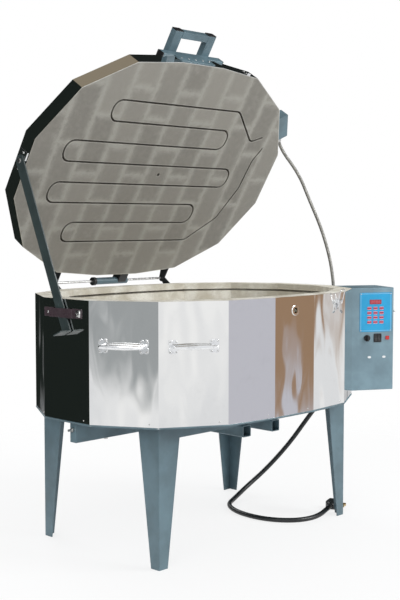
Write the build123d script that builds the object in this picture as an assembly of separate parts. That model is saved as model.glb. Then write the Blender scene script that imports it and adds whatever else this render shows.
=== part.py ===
from build123d import *

import os
from math import cos, pi, radians, sin, tan

# Oval top-loading glass kiln on a four-legged stand, with its lid propped open.
# Millimetres, +Z up. The origin is on the floor under the middle of the oval chamber.
# The front is towards -Y, the lid hinges at the back, the prop arm is on the left end and
# the control box stands on the front right corner.

# Firebrick and the oval it makes
BRICK_LENGTH = 228.6
BRICK_HEIGHT = 114.3
BRICK_THICKNESS = 63.5
FLAT_PANEL = 203.2
SIDE_TURN = 6
SHOULDER_TURN = 30
CORNER_TURN = 60
COURSES = 3
SLAB_THICKNESS = 57.2
JACKET_SHEET = 1.0
FIT = 0.3

# Panels of the oval, counted from the front centre towards the right
FRONT = 0
SIDE_RIGHT = 1
CORNER_RIGHT = 3
BACK_CORNER_RIGHT = 5
BACK_SHOULDER_RIGHT = 6
SIDE_BACK_RIGHT = 7
END_LEFT = 12
CORNER_LEFT = 13
SHOULDER_LEFT = 14

# Stand
LEG_HEIGHT = 458
LEG_TOP_WIDTH = 97
LEG_FOOT_WIDTH = 38
LEG_INSET = 19
LEG_BEND = 2.5
PLATE = 3
RAIL_HEIGHT = 42
RAIL_FLANGE = 40
CROSS_TUBE = 40
CROSS_TUBE_WALL = 3
CROSS_TUBE_SPACING = 150
CROSS_TUBE_OVERHANG = 7
CENTRE_RAIL_WIDTH = 30
CENTRE_RAIL_HEIGHT = 70
CENTRE_RAIL_INSET = 26
PAN_SHEET = 2
STUD_DIAMETER = 8
STUD_REACH = 20
NUT_WIDTH = 13
NUT_HEIGHT = 6.5
STUD_DROP = 28
UNDER_BOLT_INSET = 140

# Heating elements and their grooves
GROOVE_WIDTH = 8
GROOVE_DEPTH = 9
GROOVE_DROP = 26
LID_PASSES = 8
LID_PASS_PITCH = 82.3
LID_FIRST_PASS = -284
LID_TURN_RADIUS = 36
LID_LEAD_RADIUS = 24
LID_TURNS_LEFT = (-336, -479, -482, -352)
LID_TURNS_RIGHT = (279, 380, 267)
LID_PASS_END = 286
LID_ENTRY = ((417, -163),)
LID_RETURN = ((414, 188), (470, 46), (477, -80))
TERMINAL_ALONG = 124
TERMINAL_INSET = 84
TERMINAL_SPACING = 54
TERMINAL_RISE = 15.2
TERMINAL_DIAMETER = 11.4
TERMINAL_REACH = 12
LID_HOLE_DIAMETER = 14

# Peephole in the front wall
PEEP_DROP = 47
PEEP_BORE = 18
PEEP_TUBE = 24
PEEP_FLANGE = 34
PEEP_FLANGE_THICKNESS = 2.5

# Lid hinge at the back
LID_OPEN_ANGLE = 58
LID_SEAT = 0.5
HINGE_SETBACK = 41
HINGE_RISE = 19
HINGE_ROD = 9
HINGE_HALF_SPAN = 278
HINGE_EYE = 14
HINGE_RUNNING_FIT = 0.08
HINGE_FLANGE_WIDTH = 40
HINGE_SIDE_GAP = 0.6
EAR_DROP = 5
EAR_HEIGHT = 46
FOOT_DROP = 10
FOOT_HEIGHT = 62
ROD_HEAD = 15
ROD_HEAD_LENGTH = 4
SPRING_TUBE = 27
SPRING_TUBE_HALF = 80
COLLAR_DIAMETER = 32
COLLAR_WIDTH = 12
SPRING_MOUNT_FROM = 28
SPRING_MOUNT_TO = 68

# Lid handle
HANDLE_TUBE_HALF = 150
HANDLE_TUBE_DEPTH = 38
HANDLE_TUBE_HEIGHT = 33
HANDLE_TUBE_WALL = 2
HANDLE_TUBE_SETBACK = -2
POST_SPACING = 166
POST_WIDTH = 38
POST_HEIGHT = 27
POST_LENGTH = 113
GRIP_DEPTH = 25
CAP_THICKNESS = 3
CAP_PLUG = 12
HANDLE_PLATE_FROM = -100
HANDLE_PLATE_TO = 66
HANDLE_PLATE_DROP = 47

# Prop arm and its guide on the left end
ARM_PIVOT_Y = -16
ARM_PIVOT_RISE = 28
ARM_TILT = 23.3
ARM_LENGTH = 612
ARM_WIDTH = 40
ARM_THICKNESS = 4
ARM_SIDE_GAP = 0.8
ARM_LIP = 44
ARM_PIN = 10
ARM_PIN_HEAD = 18
ARM_RUNNING_FIT = 0.08
BRACKET_LENGTH = 78
BRACKET_HEIGHT = 40
GUIDE_DROP = 30
GUIDE_HEIGHT = 30
GUIDE_FROM = -41
GUIDE_TO = 71
GUIDE_TAB = 36

# Toggle latch on the front right side panel
LATCH_ALONG = 152
LATCH_BASE_WIDTH = 26
LATCH_BASE_BOTTOM_DROP = 60
LATCH_BASE_TOP_DROP = 18
LATCH_SHEET = 1.6
LATCH_EAR_GAP = 15
LATCH_PIVOT_DROP = 30
LATCH_PIVOT_OUT = 9
LATCH_PIN = 4
LATCH_BAIL_THROW = 9
LATCH_LEVER_LENGTH = 30
LATCH_LEVER_TIP = 11
BAIL_WIRE = 3
BAIL_WIDTH = 28
BAIL_RISE = 11
BAIL_LEAN = 14
LATCH_RUNNING_FIT = 0.08
KEEPER_WIDTH = 18
KEEPER_HEIGHT = 36
KEEPER_FOOT = 6
KEEPER_THROAT = 4.4
KEEPER_LIP = 9

# Pull handles
PULL_DROP = 142
PULL_SPACING = 135
PULL_PLATE_WIDTH = 30
PULL_PLATE_HEIGHT = 45
PULL_PLATE_THICKNESS = 3
PULL_STANDOFF = 30
PULL_GRIP_MIDDLE = 9
PULL_GRIP_END = 5.5

# Control box on the front right corner panel
CASE_ALONG = 15
CASE_WIDTH = 168
CASE_DEPTH = 177
CASE_HEIGHT = 390
CASE_SHEET = 1.5
CASE_EDGE = 3
PANEL_FROM = 37
PANEL_TO = 168
PANEL_BOTTOM_DROP = 167
PANEL_TOP_DROP = 19
PANEL_THICKNESS = 1.2
DISPLAY_WIDTH = 48
DISPLAY_HEIGHT = 17
DISPLAY_OUT = 101
DISPLAY_DROP = 54
DISPLAY_PROUD = 1.0
KEY_COLUMNS = 3
KEY_ROWS = 4
KEY_COLUMN_PITCH = 25
KEY_ROW_PITCH = 17.6
KEY_TOP_DROP = 78
KEY_WIDTH = 17
KEY_HEIGHT = 11
KEY_PROUD = 0.8
CONTROL_DROP = 191
KNOB_OUT = 67
KNOB_DIAMETER = 24
KNOB_HEIGHT = 15
KNOB_SHAFT = 6
KNOB_SHAFT_LENGTH = 9
ROCKER_OUT = 111
ROCKER_PITCH = 13.5
ROCKER_WIDTH = 11.5
ROCKER_HEIGHT = 24
ROCKER_FRAME_BORDER = 2.2
ROCKER_PROUD = 2
ROCKER_TILT = 8
ROCKER_DEPTH = 10
ROCKER_GAP = 0.5
PILOT_OUT = 151
PILOT_SIZE = 14
PILOT_PROUD = 3
BUTTON_DROP = 264
BUTTON_OUT = (78, 138)
BUTTON_WIDTH = 13
BUTTON_HEIGHT = 8
BUTTON_PROUD = 1.5

# Junction box on the lid and the conduit down to the control box
JUNCTION_ALONG = 54
JUNCTION_WIDTH = 105
JUNCTION_HEIGHT = 44
JUNCTION_DEPTH = 50
JUNCTION_DROP = 6
JUNCTION_COVER = 2
CONDUIT = 13
FITTING = 22
FITTING_LENGTH = 24
NUT_LENGTH = 6
CASE_FITTING_OUT = 60
CASE_FITTING_DROP = 90
CONDUIT_LEAD = 28
CONDUIT_LID_BEND = 28
CONDUIT_BOW = 380
CONDUIT_BEND = 75
CONDUIT_POINTS = (
    (676, 92, 1305),
    (682, 40, 1195),
    (688, -8, 1100),
    (693, -42, 1009),
    (697, -66, 917),
)

# Power cord, gland and plug
CORD = 18
CORD_BOTTOM = 30
CORD_OUT = 95
CORD_LEAD = 76
CORD_POINTS = (
    (738, -62, 450),
    (725, 0, 385),
    (690, 50, 300),
    (634, 100, 195),
    (545, 145, 98),
    (440, 165, 35),
    (345, 140, 11),
    (255, 95, 9.5),
    (205, 10, 9.2),
    (190, -85, 9.2),
    (205, -170, 9.2),
    (255, -238, 9.2),
    (325, -264, 9.2),
    (388, -260, 12),
    (440, -244, 17.2),
    (490, -226, 17.2),
)
GLAND_LENGTH = 32
GLAND_DIAMETER = 30
PLUG_LENGTH = 58
PLUG_WIDTH = 50
PLUG_HEIGHT = 34
PLUG_NECK = 18
BLADE_WIDTH = 12
BLADE_THICKNESS = 2
BLADE_LENGTH = 22
BLADE_SPACING = 22
PIN_DIAMETER = 7


def oval_panels():
    """Heading and width of each panel, walked with the kiln on the left hand."""
    quarter = [
        (SIDE_TURN, FLAT_PANEL),
        (SHOULDER_TURN, BRICK_LENGTH),
        (CORNER_TURN, BRICK_LENGTH),
    ]
    panels = []
    for half in (0, 180):
        panels.append((half, FLAT_PANEL))
        panels += [(half + turn, width) for turn, width in quarter]
        panels.append((half + 90, BRICK_LENGTH))
        panels += [(half + 180 - turn, width) for turn, width in reversed(quarter)]
    return panels


PANELS = oval_panels()
HALF_LOOP = PANELS[: len(PANELS) // 2]
OVAL_DEPTH = sum(width * sin(radians(heading)) for heading, width in HALF_LOOP)
PAN_TOP = LEG_HEIGHT + PAN_SHEET
FLOOR_TOP = PAN_TOP + SLAB_THICKNESS
RIM_HEIGHT = FLOOR_TOP + COURSES * BRICK_HEIGHT
LID_BASE = RIM_HEIGHT + LID_SEAT
LID_TOP = LID_BASE + SLAB_THICKNESS
FRONT_FACE = -OVAL_DEPTH / 2
HINGE_Y = OVAL_DEPTH / 2 + HINGE_SETBACK
HINGE_Z = RIM_HEIGHT + HINGE_RISE
HINGE_AXIS = Axis((0, HINGE_Y, HINGE_Z), (1, 0, 0))
ELEMENT_DIAMETER = GROOVE_WIDTH - 2 * FIT


def oval_corners(inset=0):
    """Corners of the oval, moved in by an even distance from every panel."""
    corner = Vector(-FLAT_PANEL / 2, FRONT_FACE)
    corners = []
    for index, (heading, width) in enumerate(PANELS):
        before = PANELS[index - 1][0] - (360 if index == 0 else 0)
        middle = radians((before + heading) / 2)
        reach = inset / cos(radians((heading - before) / 2))
        corners.append(corner + Vector(-sin(middle), cos(middle)) * reach)
        corner += Vector(cos(radians(heading)), sin(radians(heading))) * width
    return corners


def oval(inset=0):
    """Face of the oval outline, moved in by an even distance."""
    return make_face(Polyline(*oval_corners(inset), close=True))


def oval_ring(inset, wall, height):
    """Upright wall that follows the oval."""
    return extrude(oval(inset) - oval(inset + wall), height)


def on_panel(panel, along, height, out=0):
    """Plane on one panel of the jacket: X along the panel, Y up and Z outwards."""
    heading = radians(PANELS[panel][0])
    step = Vector(cos(heading), sin(heading))
    outwards = Vector(sin(heading), -cos(heading))
    origin = oval_corners()[panel] + step * along + outwards * out + Vector(0, 0, height)
    return Plane(origin=origin, x_dir=step, z_dir=outwards)


def on_case(out, height):
    """Plane on the face of the control box that carries the controls."""
    side = on_panel(CORNER_RIGHT, CASE_ALONG, height, out)
    return Plane(origin=side.origin, x_dir=side.z_dir, z_dir=-side.x_dir)


def block(x, y, z):
    """Box between two limits on each axis."""
    limits = (x, y, z)
    centre = [(low + high) / 2 for low, high in limits]
    size = [high - low for low, high in limits]
    return Pos(*centre) * Box(*size)


def tube(outer, inner, length):
    """Round tube along Z that starts on the XY plane."""
    return extrude(Circle(outer / 2) - Circle(inner / 2), length)


def rod(diameter, length):
    """Round bar along Z that starts on the XY plane."""
    return extrude(Circle(diameter / 2), length)


def hexagon(width, length):
    """Hexagon bar along Z, measured across its flats."""
    return extrude(RegularPolygon(width / 2, 6, major_radius=False), length)


def opened(shape):
    """A lid piece, drawn on the closed kiln, carried to where the open lid holds it."""
    return shape.rotate(HINGE_AXIS, -LID_OPEN_ANGLE)


def opened_point(point):
    """Where a point drawn on the closed lid lies when the lid is open."""
    y = point.Y - HINGE_Y
    z = point.Z - HINGE_Z
    turn = radians(LID_OPEN_ANGLE)
    moved_y = y * cos(turn) + z * sin(turn)
    moved_z = z * cos(turn) - y * sin(turn)
    return Vector(point.X, HINGE_Y + moved_y, HINGE_Z + moved_z)


def save(name, *solids):
    """Write one sub-part, as one solid or as a group of separate solids."""
    shape = solids[0] if len(solids) == 1 else Compound(children=list(solids))
    export_step(shape, f"parts/{name}.step")


# Stand


def leg_ridge():
    """Outer corner of the leg in the back right quarter."""
    corner = oval_corners()[BACK_SHOULDER_RIGHT]
    return corner.X - LEG_INSET, corner.Y - LEG_INSET


def leg():
    """Tapered angle leg of the back right quarter, its ridge outwards."""
    x, y = leg_ridge()
    taper = Polygon(
        (0, 0),
        (0, LEG_HEIGHT),
        (-LEG_TOP_WIDTH, LEG_HEIGHT),
        (-LEG_FOOT_WIDTH, 0),
        align=None,
    )
    along_x = Plane(origin=(x, y, 0), x_dir=(1, 0, 0), z_dir=(0, -1, 0))
    along_y = Plane(origin=(x, y, 0), x_dir=(0, 1, 0), z_dir=(1, 0, 0))
    angle = extrude(along_x * taper, PLATE) + extrude(along_y * taper, -PLATE)
    ridge = angle.edges().filter_by(Axis.Z).sort_by(lambda edge: edge.center().X + edge.center().Y)[-1]
    return fillet(ridge, LEG_BEND)


def long_rail():
    """Angle rail between the two back legs, web outwards and flange on top."""
    x, y = leg_ridge()
    web = y - PLATE
    profile = Polygon(
        (web, LEG_HEIGHT),
        (web, LEG_HEIGHT - RAIL_HEIGHT),
        (web - PLATE, LEG_HEIGHT - RAIL_HEIGHT),
        (web - PLATE, LEG_HEIGHT - PLATE),
        (web - RAIL_FLANGE, LEG_HEIGHT - PLATE),
        (web - RAIL_FLANGE, LEG_HEIGHT),
        align=None,
    )
    return extrude(Plane.YZ * profile, x - PLATE, both=True)


def cross_tube(side):
    """Square tube under the long rails, open at both ends."""
    reach = leg_ridge()[1] + CROSS_TUBE_OVERHANG
    inner = CROSS_TUBE - 2 * CROSS_TUBE_WALL
    profile = RectangleRounded(CROSS_TUBE, CROSS_TUBE, CROSS_TUBE_WALL + 1) - Rectangle(inner, inner)
    x = side * CROSS_TUBE_SPACING / 2
    z = LEG_HEIGHT - RAIL_HEIGHT - CROSS_TUBE / 2
    return Pos(x, 0, z) * extrude(Plane.XZ * profile, reach, both=True)


def centre_rail_end():
    """How far the centre rails reach from the middle of the oval."""
    return oval_corners()[CORNER_RIGHT + 1].X - CENTRE_RAIL_INSET


def stud_height():
    """Height of the stud in the end plate of each centre rail."""
    return LEG_HEIGHT - STUD_DROP


def centre_rail():
    """Box rail from a cross tube out to the right end, closed by an end plate."""
    start = (CROSS_TUBE_SPACING + CROSS_TUBE) / 2
    end = centre_rail_end()
    half = CENTRE_RAIL_WIDTH / 2
    low = LEG_HEIGHT - CENTRE_RAIL_HEIGHT
    rail = block((start, end), (-half, half), (low, LEG_HEIGHT))
    rail -= block(
        (start, end - PLATE),
        (-half + PLATE, half - PLATE),
        (low + PLATE, LEG_HEIGHT - PLATE),
    )
    stud_hole = Plane.YZ * Pos(0, stud_height(), 0) * Circle(STUD_DIAMETER / 2 + FIT)
    rail -= Pos(end - PLATE, 0, 0) * extrude(stud_hole, PLATE)
    bolt_hole = Pos(end - UNDER_BOLT_INSET, 0, low) * Circle(STUD_DIAMETER / 2 + FIT)
    return rail - extrude(bolt_hole, PLATE)


def end_stud():
    """Threaded stud through the end plate, with its nut outside."""
    stud = rod(STUD_DIAMETER, PLATE + STUD_REACH)
    stud += Pos(0, 0, PLATE) * hexagon(NUT_WIDTH, NUT_HEIGHT)
    place = Plane(
        origin=(centre_rail_end() - PLATE, 0, stud_height()),
        x_dir=(0, 1, 0),
        z_dir=(1, 0, 0),
    )
    return place * stud


def under_bolt():
    """Bolt up through the bottom of a centre rail, with its head below."""
    bolt = rod(STUD_DIAMETER, PLATE)
    bolt += Pos(0, 0, -NUT_HEIGHT) * hexagon(NUT_WIDTH, NUT_HEIGHT)
    low = LEG_HEIGHT - CENTRE_RAIL_HEIGHT
    return Pos(centre_rail_end() - UNDER_BOLT_INSET, 0, low) * bolt


def four_ways(shape):
    """A back right piece and its mirror images in the other three quarters."""
    left = mirror(shape, about=Plane.YZ)
    return shape, left, mirror(shape, about=Plane.XZ), mirror(left, about=Plane.XZ)


def build_stand():
    names = ("leg_back_right", "leg_back_left", "leg_front_right", "leg_front_left")
    for name, piece in zip(names, four_ways(leg())):
        save(name, piece)
    rail = long_rail()
    save("long_rails", rail, mirror(rail, about=Plane.XZ))
    save("cross_tubes", cross_tube(-1), cross_tube(1))
    centre = centre_rail()
    save("centre_rails", centre, mirror(centre, about=Plane.YZ))
    bolts = (end_stud(), under_bolt())
    save("rail_bolts", *bolts, *(mirror(bolt, about=Plane.YZ) for bolt in bolts))
    save("base_pan", Pos(0, 0, LEG_HEIGHT) * extrude(oval(), PAN_SHEET))


# Kiln body


def peep_height():
    return RIM_HEIGHT - PEEP_DROP


def peep_cut(diameter):
    """Cylinder through the front wall on the axis of the peephole."""
    place = on_panel(FRONT, FLAT_PANEL / 2, peep_height())
    through = JACKET_SHEET + BRICK_THICKNESS
    return place * Pos(0, 0, -through) * rod(diameter, through)


def jacket():
    wall = Pos(0, 0, PAN_TOP) * oval_ring(0, JACKET_SHEET, RIM_HEIGHT - PAN_TOP)
    return wall - peep_cut(PEEP_TUBE + 2 * FIT)


def wall_brick(panel, base):
    """Mitred brick behind one panel, with the two element grooves in its inner face."""
    outer = oval_corners(JACKET_SHEET)
    inner = oval_corners(JACKET_SHEET + BRICK_THICKNESS)
    after = (panel + 1) % len(PANELS)
    outline = Polyline(outer[panel], outer[after], inner[after], inner[panel], close=True)
    brick = Pos(0, 0, base) * extrude(make_face(outline), BRICK_HEIGHT)
    for level in groove_levels(base):
        brick -= Pos(0, 0, level - GROOVE_WIDTH / 2) * wall_groove()
    return brick


def groove_levels(base):
    """Heights of the two element grooves in the course that starts at a height."""
    top = base + BRICK_HEIGHT - GROOVE_DROP
    return top, top - BRICK_HEIGHT / 2


def wall_groove():
    """Band that cuts the element groove into the inner faces of a course."""
    inset = JACKET_SHEET + BRICK_THICKNESS - GROOVE_DEPTH
    return oval_ring(inset, GROOVE_DEPTH, GROOVE_WIDTH)


def wall_element(level):
    """Heating element that lies in a wall groove all the way round."""
    inset = JACKET_SHEET + BRICK_THICKNESS - GROOVE_DEPTH / 2
    corners = [corner + Vector(0, 0, level) for corner in oval_corners(inset)]
    middle = (corners[0] + corners[1]) / 2
    path = Polyline(middle, *corners[1:], corners[0], middle)
    section = Plane(origin=middle, z_dir=(1, 0, 0)) * Circle(ELEMENT_DIAMETER / 2)
    return sweep(section, path, transition=Transition.RIGHT)


def peep_tube():
    """Steel tube through the front wall with a flange on the jacket."""
    through = JACKET_SHEET + BRICK_THICKNESS
    place = on_panel(FRONT, FLAT_PANEL / 2, peep_height())
    sleeve = Pos(0, 0, -through) * tube(PEEP_TUBE, PEEP_BORE, through)
    flange = tube(PEEP_FLANGE, PEEP_BORE, PEEP_FLANGE_THICKNESS)
    rim = flange.edges().group_by(Axis.Z)[-1].sort_by(SortBy.RADIUS)[-1]
    return place * (sleeve + fillet(rim, PEEP_FLANGE_THICKNESS * 0.6))


def build_body():
    floor = extrude(oval(JACKET_SHEET), SLAB_THICKNESS)
    save("floor_slab", Pos(0, 0, PAN_TOP) * floor)
    elements = []
    for course in range(COURSES):
        base = FLOOR_TOP + course * BRICK_HEIGHT
        bricks = [wall_brick(panel, base) for panel in range(len(PANELS))]
        if base < peep_height() < base + BRICK_HEIGHT:
            bricks[FRONT] -= peep_cut(PEEP_TUBE + 2 * FIT)
        save(f"wall_course_{course + 1}", *bricks)
        elements += [wall_element(level) for level in groove_levels(base)]
    save("wall_elements", *elements)
    save("body_jacket", jacket())
    save("peephole_tube", peep_tube())


# Lid, drawn closed and then carried open


def lid_groove_path():
    """Serpentine of the lid element, from one terminal round to the other."""
    first, second = (terminal_place(side).origin for side in (-1, 1))
    points = [Vector(first.X, first.Y), *LID_ENTRY]
    radii = [LID_LEAD_RADIUS] * 2
    for row in range(LID_PASSES):
        y = LID_FIRST_PASS + row * LID_PASS_PITCH
        outer_row = row in (0, LID_PASSES - 1)
        right = LID_PASS_END if outer_row else LID_TURNS_RIGHT[(row - 1) // 2]
        left = LID_TURNS_LEFT[row // 2]
        ends = (right, left) if row % 2 == 0 else (left, right)
        points += [(end, y) for end in ends]
        radii += [LID_TURN_RADIUS] * 2
    points += [*LID_RETURN, Vector(second.X, second.Y)]
    radii += [LID_LEAD_RADIUS] * len(LID_RETURN)
    return FilletPolyline(*points, radius=radii[1:])


def terminal_place(side):
    """Plane where the element leaves its groove, looking out through the edge of the lid."""
    along = TERMINAL_ALONG + side * TERMINAL_SPACING / 2
    return on_panel(CORNER_RIGHT, along, LID_BASE + TERMINAL_RISE, -TERMINAL_INSET)


def terminal(diameter):
    """Two round bars from the ends of the groove into the junction box."""
    length = TERMINAL_INSET + TERMINAL_REACH
    return [terminal_place(side) * rod(diameter, length) for side in (-1, 1)]


def along_groove(section):
    """Sweep a section along the serpentine in the underside of the lid."""
    path = Pos(0, 0, LID_BASE) * lid_groove_path()
    start = Plane(origin=path @ 0, z_dir=path % 0, x_dir=Vector(0, 0, 1).cross(path % 0))
    return sweep(start * section, path)


def lid_slab():
    """Cemented brick slab with the element groove in its underside."""
    slab = Pos(0, 0, LID_BASE) * extrude(oval(JACKET_SHEET), SLAB_THICKNESS)
    slab -= Pos(0, 0, LID_BASE) * rod(LID_HOLE_DIAMETER, SLAB_THICKNESS)
    slab -= along_groove(Rectangle(GROOVE_WIDTH, 2 * GROOVE_DEPTH))
    for hole in terminal(TERMINAL_DIAMETER + 2 * FIT):
        slab -= hole
    return slab


def lid_band():
    """Steel band round the lid, with the two holes for the element's ends."""
    band = Pos(0, 0, LID_BASE) * oval_ring(0, JACKET_SHEET, SLAB_THICKNESS)
    for hole in terminal(TERMINAL_DIAMETER + 2 * FIT):
        band -= hole
    return band


def junction_place(along, drop, out=0):
    """Plane on the lid band at the junction box, measured from the box's own edge."""
    return on_panel(CORNER_RIGHT, JUNCTION_ALONG + along, LID_TOP - drop, out)


def junction_box():
    """Folded steel box on the lid band, open towards the band."""
    shell = block(
        (0, JUNCTION_WIDTH),
        (-JUNCTION_HEIGHT, 0),
        (0, JUNCTION_DEPTH),
    )
    sheet = CASE_SHEET
    hollow = block(
        (sheet, JUNCTION_WIDTH - sheet),
        (-JUNCTION_HEIGHT + sheet, -sheet),
        (0, JUNCTION_DEPTH),
    )
    return junction_place(0, JUNCTION_DROP) * (shell - hollow)


def junction_cover():
    """Flat cover on the outer face of the junction box."""
    place = junction_place(JUNCTION_WIDTH / 2, JUNCTION_DROP + JUNCTION_HEIGHT / 2, JUNCTION_DEPTH)
    cover = extrude(RectangleRounded(JUNCTION_WIDTH, JUNCTION_HEIGHT, CASE_EDGE), JUNCTION_COVER)
    return place * cover


def build_lid():
    save("lid_band", opened(lid_band()))
    save("lid_slab", opened(lid_slab()))
    element = along_groove(Pos(0, GROOVE_DEPTH / 2) * Circle(ELEMENT_DIAMETER / 2))
    save("lid_element", opened(element))
    save("lid_terminals", *(opened(bush) for bush in terminal(TERMINAL_DIAMETER)))
    save("junction_box", opened(junction_box()))
    save("junction_cover", opened(junction_cover()))


# Lid handle


def box_tube(width, height, wall, length):
    """Rectangular tube along Z, centred on the Z axis."""
    outer = RectangleRounded(width, height, wall)
    return extrude(outer - Rectangle(width - 2 * wall, height - 2 * wall), length)


def tube_cap(width, height, wall):
    """Black end cap: a plate outside and a plug inside the tube, both along Z."""
    plate = extrude(RectangleRounded(width, height, wall), CAP_THICKNESS)
    inner = (width - 2 * wall - 2 * FIT, height - 2 * wall - 2 * FIT)
    plug = extrude(Rectangle(*inner), -CAP_PLUG)
    return plate + plug


def handle_tube_y():
    """Centre line of the handle's cross tube."""
    return FRONT_FACE + HANDLE_TUBE_SETBACK + HANDLE_TUBE_DEPTH / 2


def handle_tube_place(side):
    """Plane at one end of the cross tube, looking outwards along X."""
    origin = (side * HANDLE_TUBE_HALF, handle_tube_y(), LID_TOP + HANDLE_TUBE_HEIGHT / 2)
    return Plane(origin=origin, x_dir=(0, side, 0), z_dir=(side, 0, 0))


def post_place(side):
    """Plane at the outer end of a handle post, looking forwards."""
    back = handle_tube_y() + HANDLE_TUBE_DEPTH / 2
    z = LID_TOP + HANDLE_TUBE_HEIGHT + POST_HEIGHT / 2
    origin = (side * POST_SPACING / 2, back - POST_LENGTH, z)
    return Plane(origin=origin, x_dir=(1, 0, 0), z_dir=(0, -1, 0))


def handle_grip():
    """Flat bar between the outer ends of the two posts."""
    reach = (POST_SPACING - POST_WIDTH) / 2
    y = post_place(1).origin.Y
    z = LID_TOP + HANDLE_TUBE_HEIGHT
    return block((-reach, reach), (y, y + GRIP_DEPTH), (z, z + POST_HEIGHT))


def handle_plate():
    """Plate on the lid band that holds the handle tube."""
    bottom = LID_TOP - HANDLE_PLATE_DROP
    y = FRONT_FACE
    upright = block((HANDLE_PLATE_FROM, HANDLE_PLATE_TO), (y - PLATE, y), (bottom, LID_TOP))
    return upright


def build_lid_handle():
    cross = box_tube(HANDLE_TUBE_DEPTH, HANDLE_TUBE_HEIGHT, HANDLE_TUBE_WALL, 2 * HANDLE_TUBE_HALF)
    right = handle_tube_place(1)
    save("handle_tube", opened(right * Pos(0, 0, -2 * HANDLE_TUBE_HALF) * cross))
    post = Pos(0, 0, -POST_LENGTH) * box_tube(POST_WIDTH, POST_HEIGHT, HANDLE_TUBE_WALL, POST_LENGTH)
    save("handle_posts", *(opened(post_place(side) * post) for side in (-1, 1)))
    save("handle_grip", opened(handle_grip()))
    tube_end = tube_cap(HANDLE_TUBE_DEPTH, HANDLE_TUBE_HEIGHT, HANDLE_TUBE_WALL)
    post_end = tube_cap(POST_WIDTH, POST_HEIGHT, HANDLE_TUBE_WALL)
    caps = [handle_tube_place(side) * tube_end for side in (-1, 1)]
    caps += [post_place(side) * post_end for side in (-1, 1)]
    save("handle_caps", *(opened(cap) for cap in caps))
    save("handle_plate", opened(handle_plate()))


# Hinge


def hinge_bracket(x, bottom, top):
    """Right-hand bracket: a flange on the oval and a web that ends in an eye on the hinge."""
    heading = PANELS[SIDE_BACK_RIGHT][0]
    along = (x - oval_corners()[SIDE_BACK_RIGHT].X) / cos(radians(heading))
    place = on_panel(SIDE_BACK_RIGHT, along, (bottom + top) / 2, PLATE / 2)
    flange = place * Box(HINGE_FLANGE_WIDTH, top - bottom, PLATE)
    root = place.origin.Y
    web = Polygon(
        (root, bottom),
        (root, top),
        (HINGE_Y, HINGE_Z + HINGE_EYE),
        (HINGE_Y, HINGE_Z - HINGE_EYE),
        align=None,
    )
    web += Pos(HINGE_Y, HINGE_Z) * Circle(HINGE_EYE)
    bracket = flange + Pos(x, 0, 0) * extrude(Plane.YZ * web, PLATE / 2, both=True)
    return bracket - on_hinge(x - PLATE, rod(HINGE_ROD + 2 * HINGE_RUNNING_FIT, 2 * PLATE))


def on_hinge(x, shape):
    """Carry a shape drawn along Z onto the hinge axis, starting at one X."""
    return Plane(origin=(x, HINGE_Y, HINGE_Z), x_dir=(0, 1, 0), z_dir=(1, 0, 0)) * shape


def foot_x():
    """Web of the right-hand foot on the body, outside the ear on the lid."""
    return HINGE_HALF_SPAN + PLATE + HINGE_SIDE_GAP


def hinge_rod():
    """Rod through all four brackets, with a riveted head at each end."""
    reach = foot_x() + PLATE / 2 + HINGE_SIDE_GAP
    bar = on_hinge(-reach, rod(HINGE_ROD, 2 * reach))
    head = rod(ROD_HEAD, ROD_HEAD_LENGTH)
    head = fillet(head.edges().group_by(Axis.Z)[-1], ROD_HEAD_LENGTH / 2)
    right = on_hinge(reach, head)
    return bar + right + mirror(right, about=Plane.YZ)


def spring_mount():
    """Saddle between the back of the lid band and the spring tube."""
    half = SPRING_TUBE / 2
    middle = LID_BASE + SLAB_THICKNESS / 2
    saddle = block(
        (SPRING_MOUNT_FROM, SPRING_MOUNT_TO),
        (OVAL_DEPTH / 2, HINGE_Y),
        (HINGE_Z - half, middle + half),
    )
    return saddle - on_hinge(SPRING_MOUNT_FROM, rod(SPRING_TUBE, SPRING_MOUNT_TO - SPRING_MOUNT_FROM))


def build_hinge():
    ear = hinge_bracket(HINGE_HALF_SPAN, LID_BASE + EAR_DROP, LID_BASE + EAR_DROP + EAR_HEIGHT)
    save("hinge_ears", *(opened(piece) for piece in (ear, mirror(ear, about=Plane.YZ))))
    foot_top = RIM_HEIGHT - FOOT_DROP
    foot = hinge_bracket(foot_x(), foot_top - FOOT_HEIGHT, foot_top)
    save("hinge_feet", foot, mirror(foot, about=Plane.YZ))
    save("hinge_rod", hinge_rod())
    spring = tube(SPRING_TUBE, HINGE_ROD + 2 * HINGE_RUNNING_FIT, 2 * SPRING_TUBE_HALF)
    save("spring_tube", opened(on_hinge(-SPRING_TUBE_HALF, spring)))
    save("spring_mount", opened(spring_mount()))
    collar = tube(COLLAR_DIAMETER, HINGE_ROD + 2 * HINGE_RUNNING_FIT, COLLAR_WIDTH)
    save("spring_collar", on_hinge(-SPRING_TUBE_HALF - HINGE_SIDE_GAP - COLLAR_WIDTH, collar))


# Prop arm


def along_end(y):
    """Distance along the left end panel of a place at one Y."""
    return BRICK_LENGTH / 2 - y


def on_lid_end(out):
    """Plane at the arm's pivot on the closed lid, looking out to the left."""
    return on_panel(END_LEFT, along_end(ARM_PIVOT_Y), LID_BASE + ARM_PIVOT_RISE, out)


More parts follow.
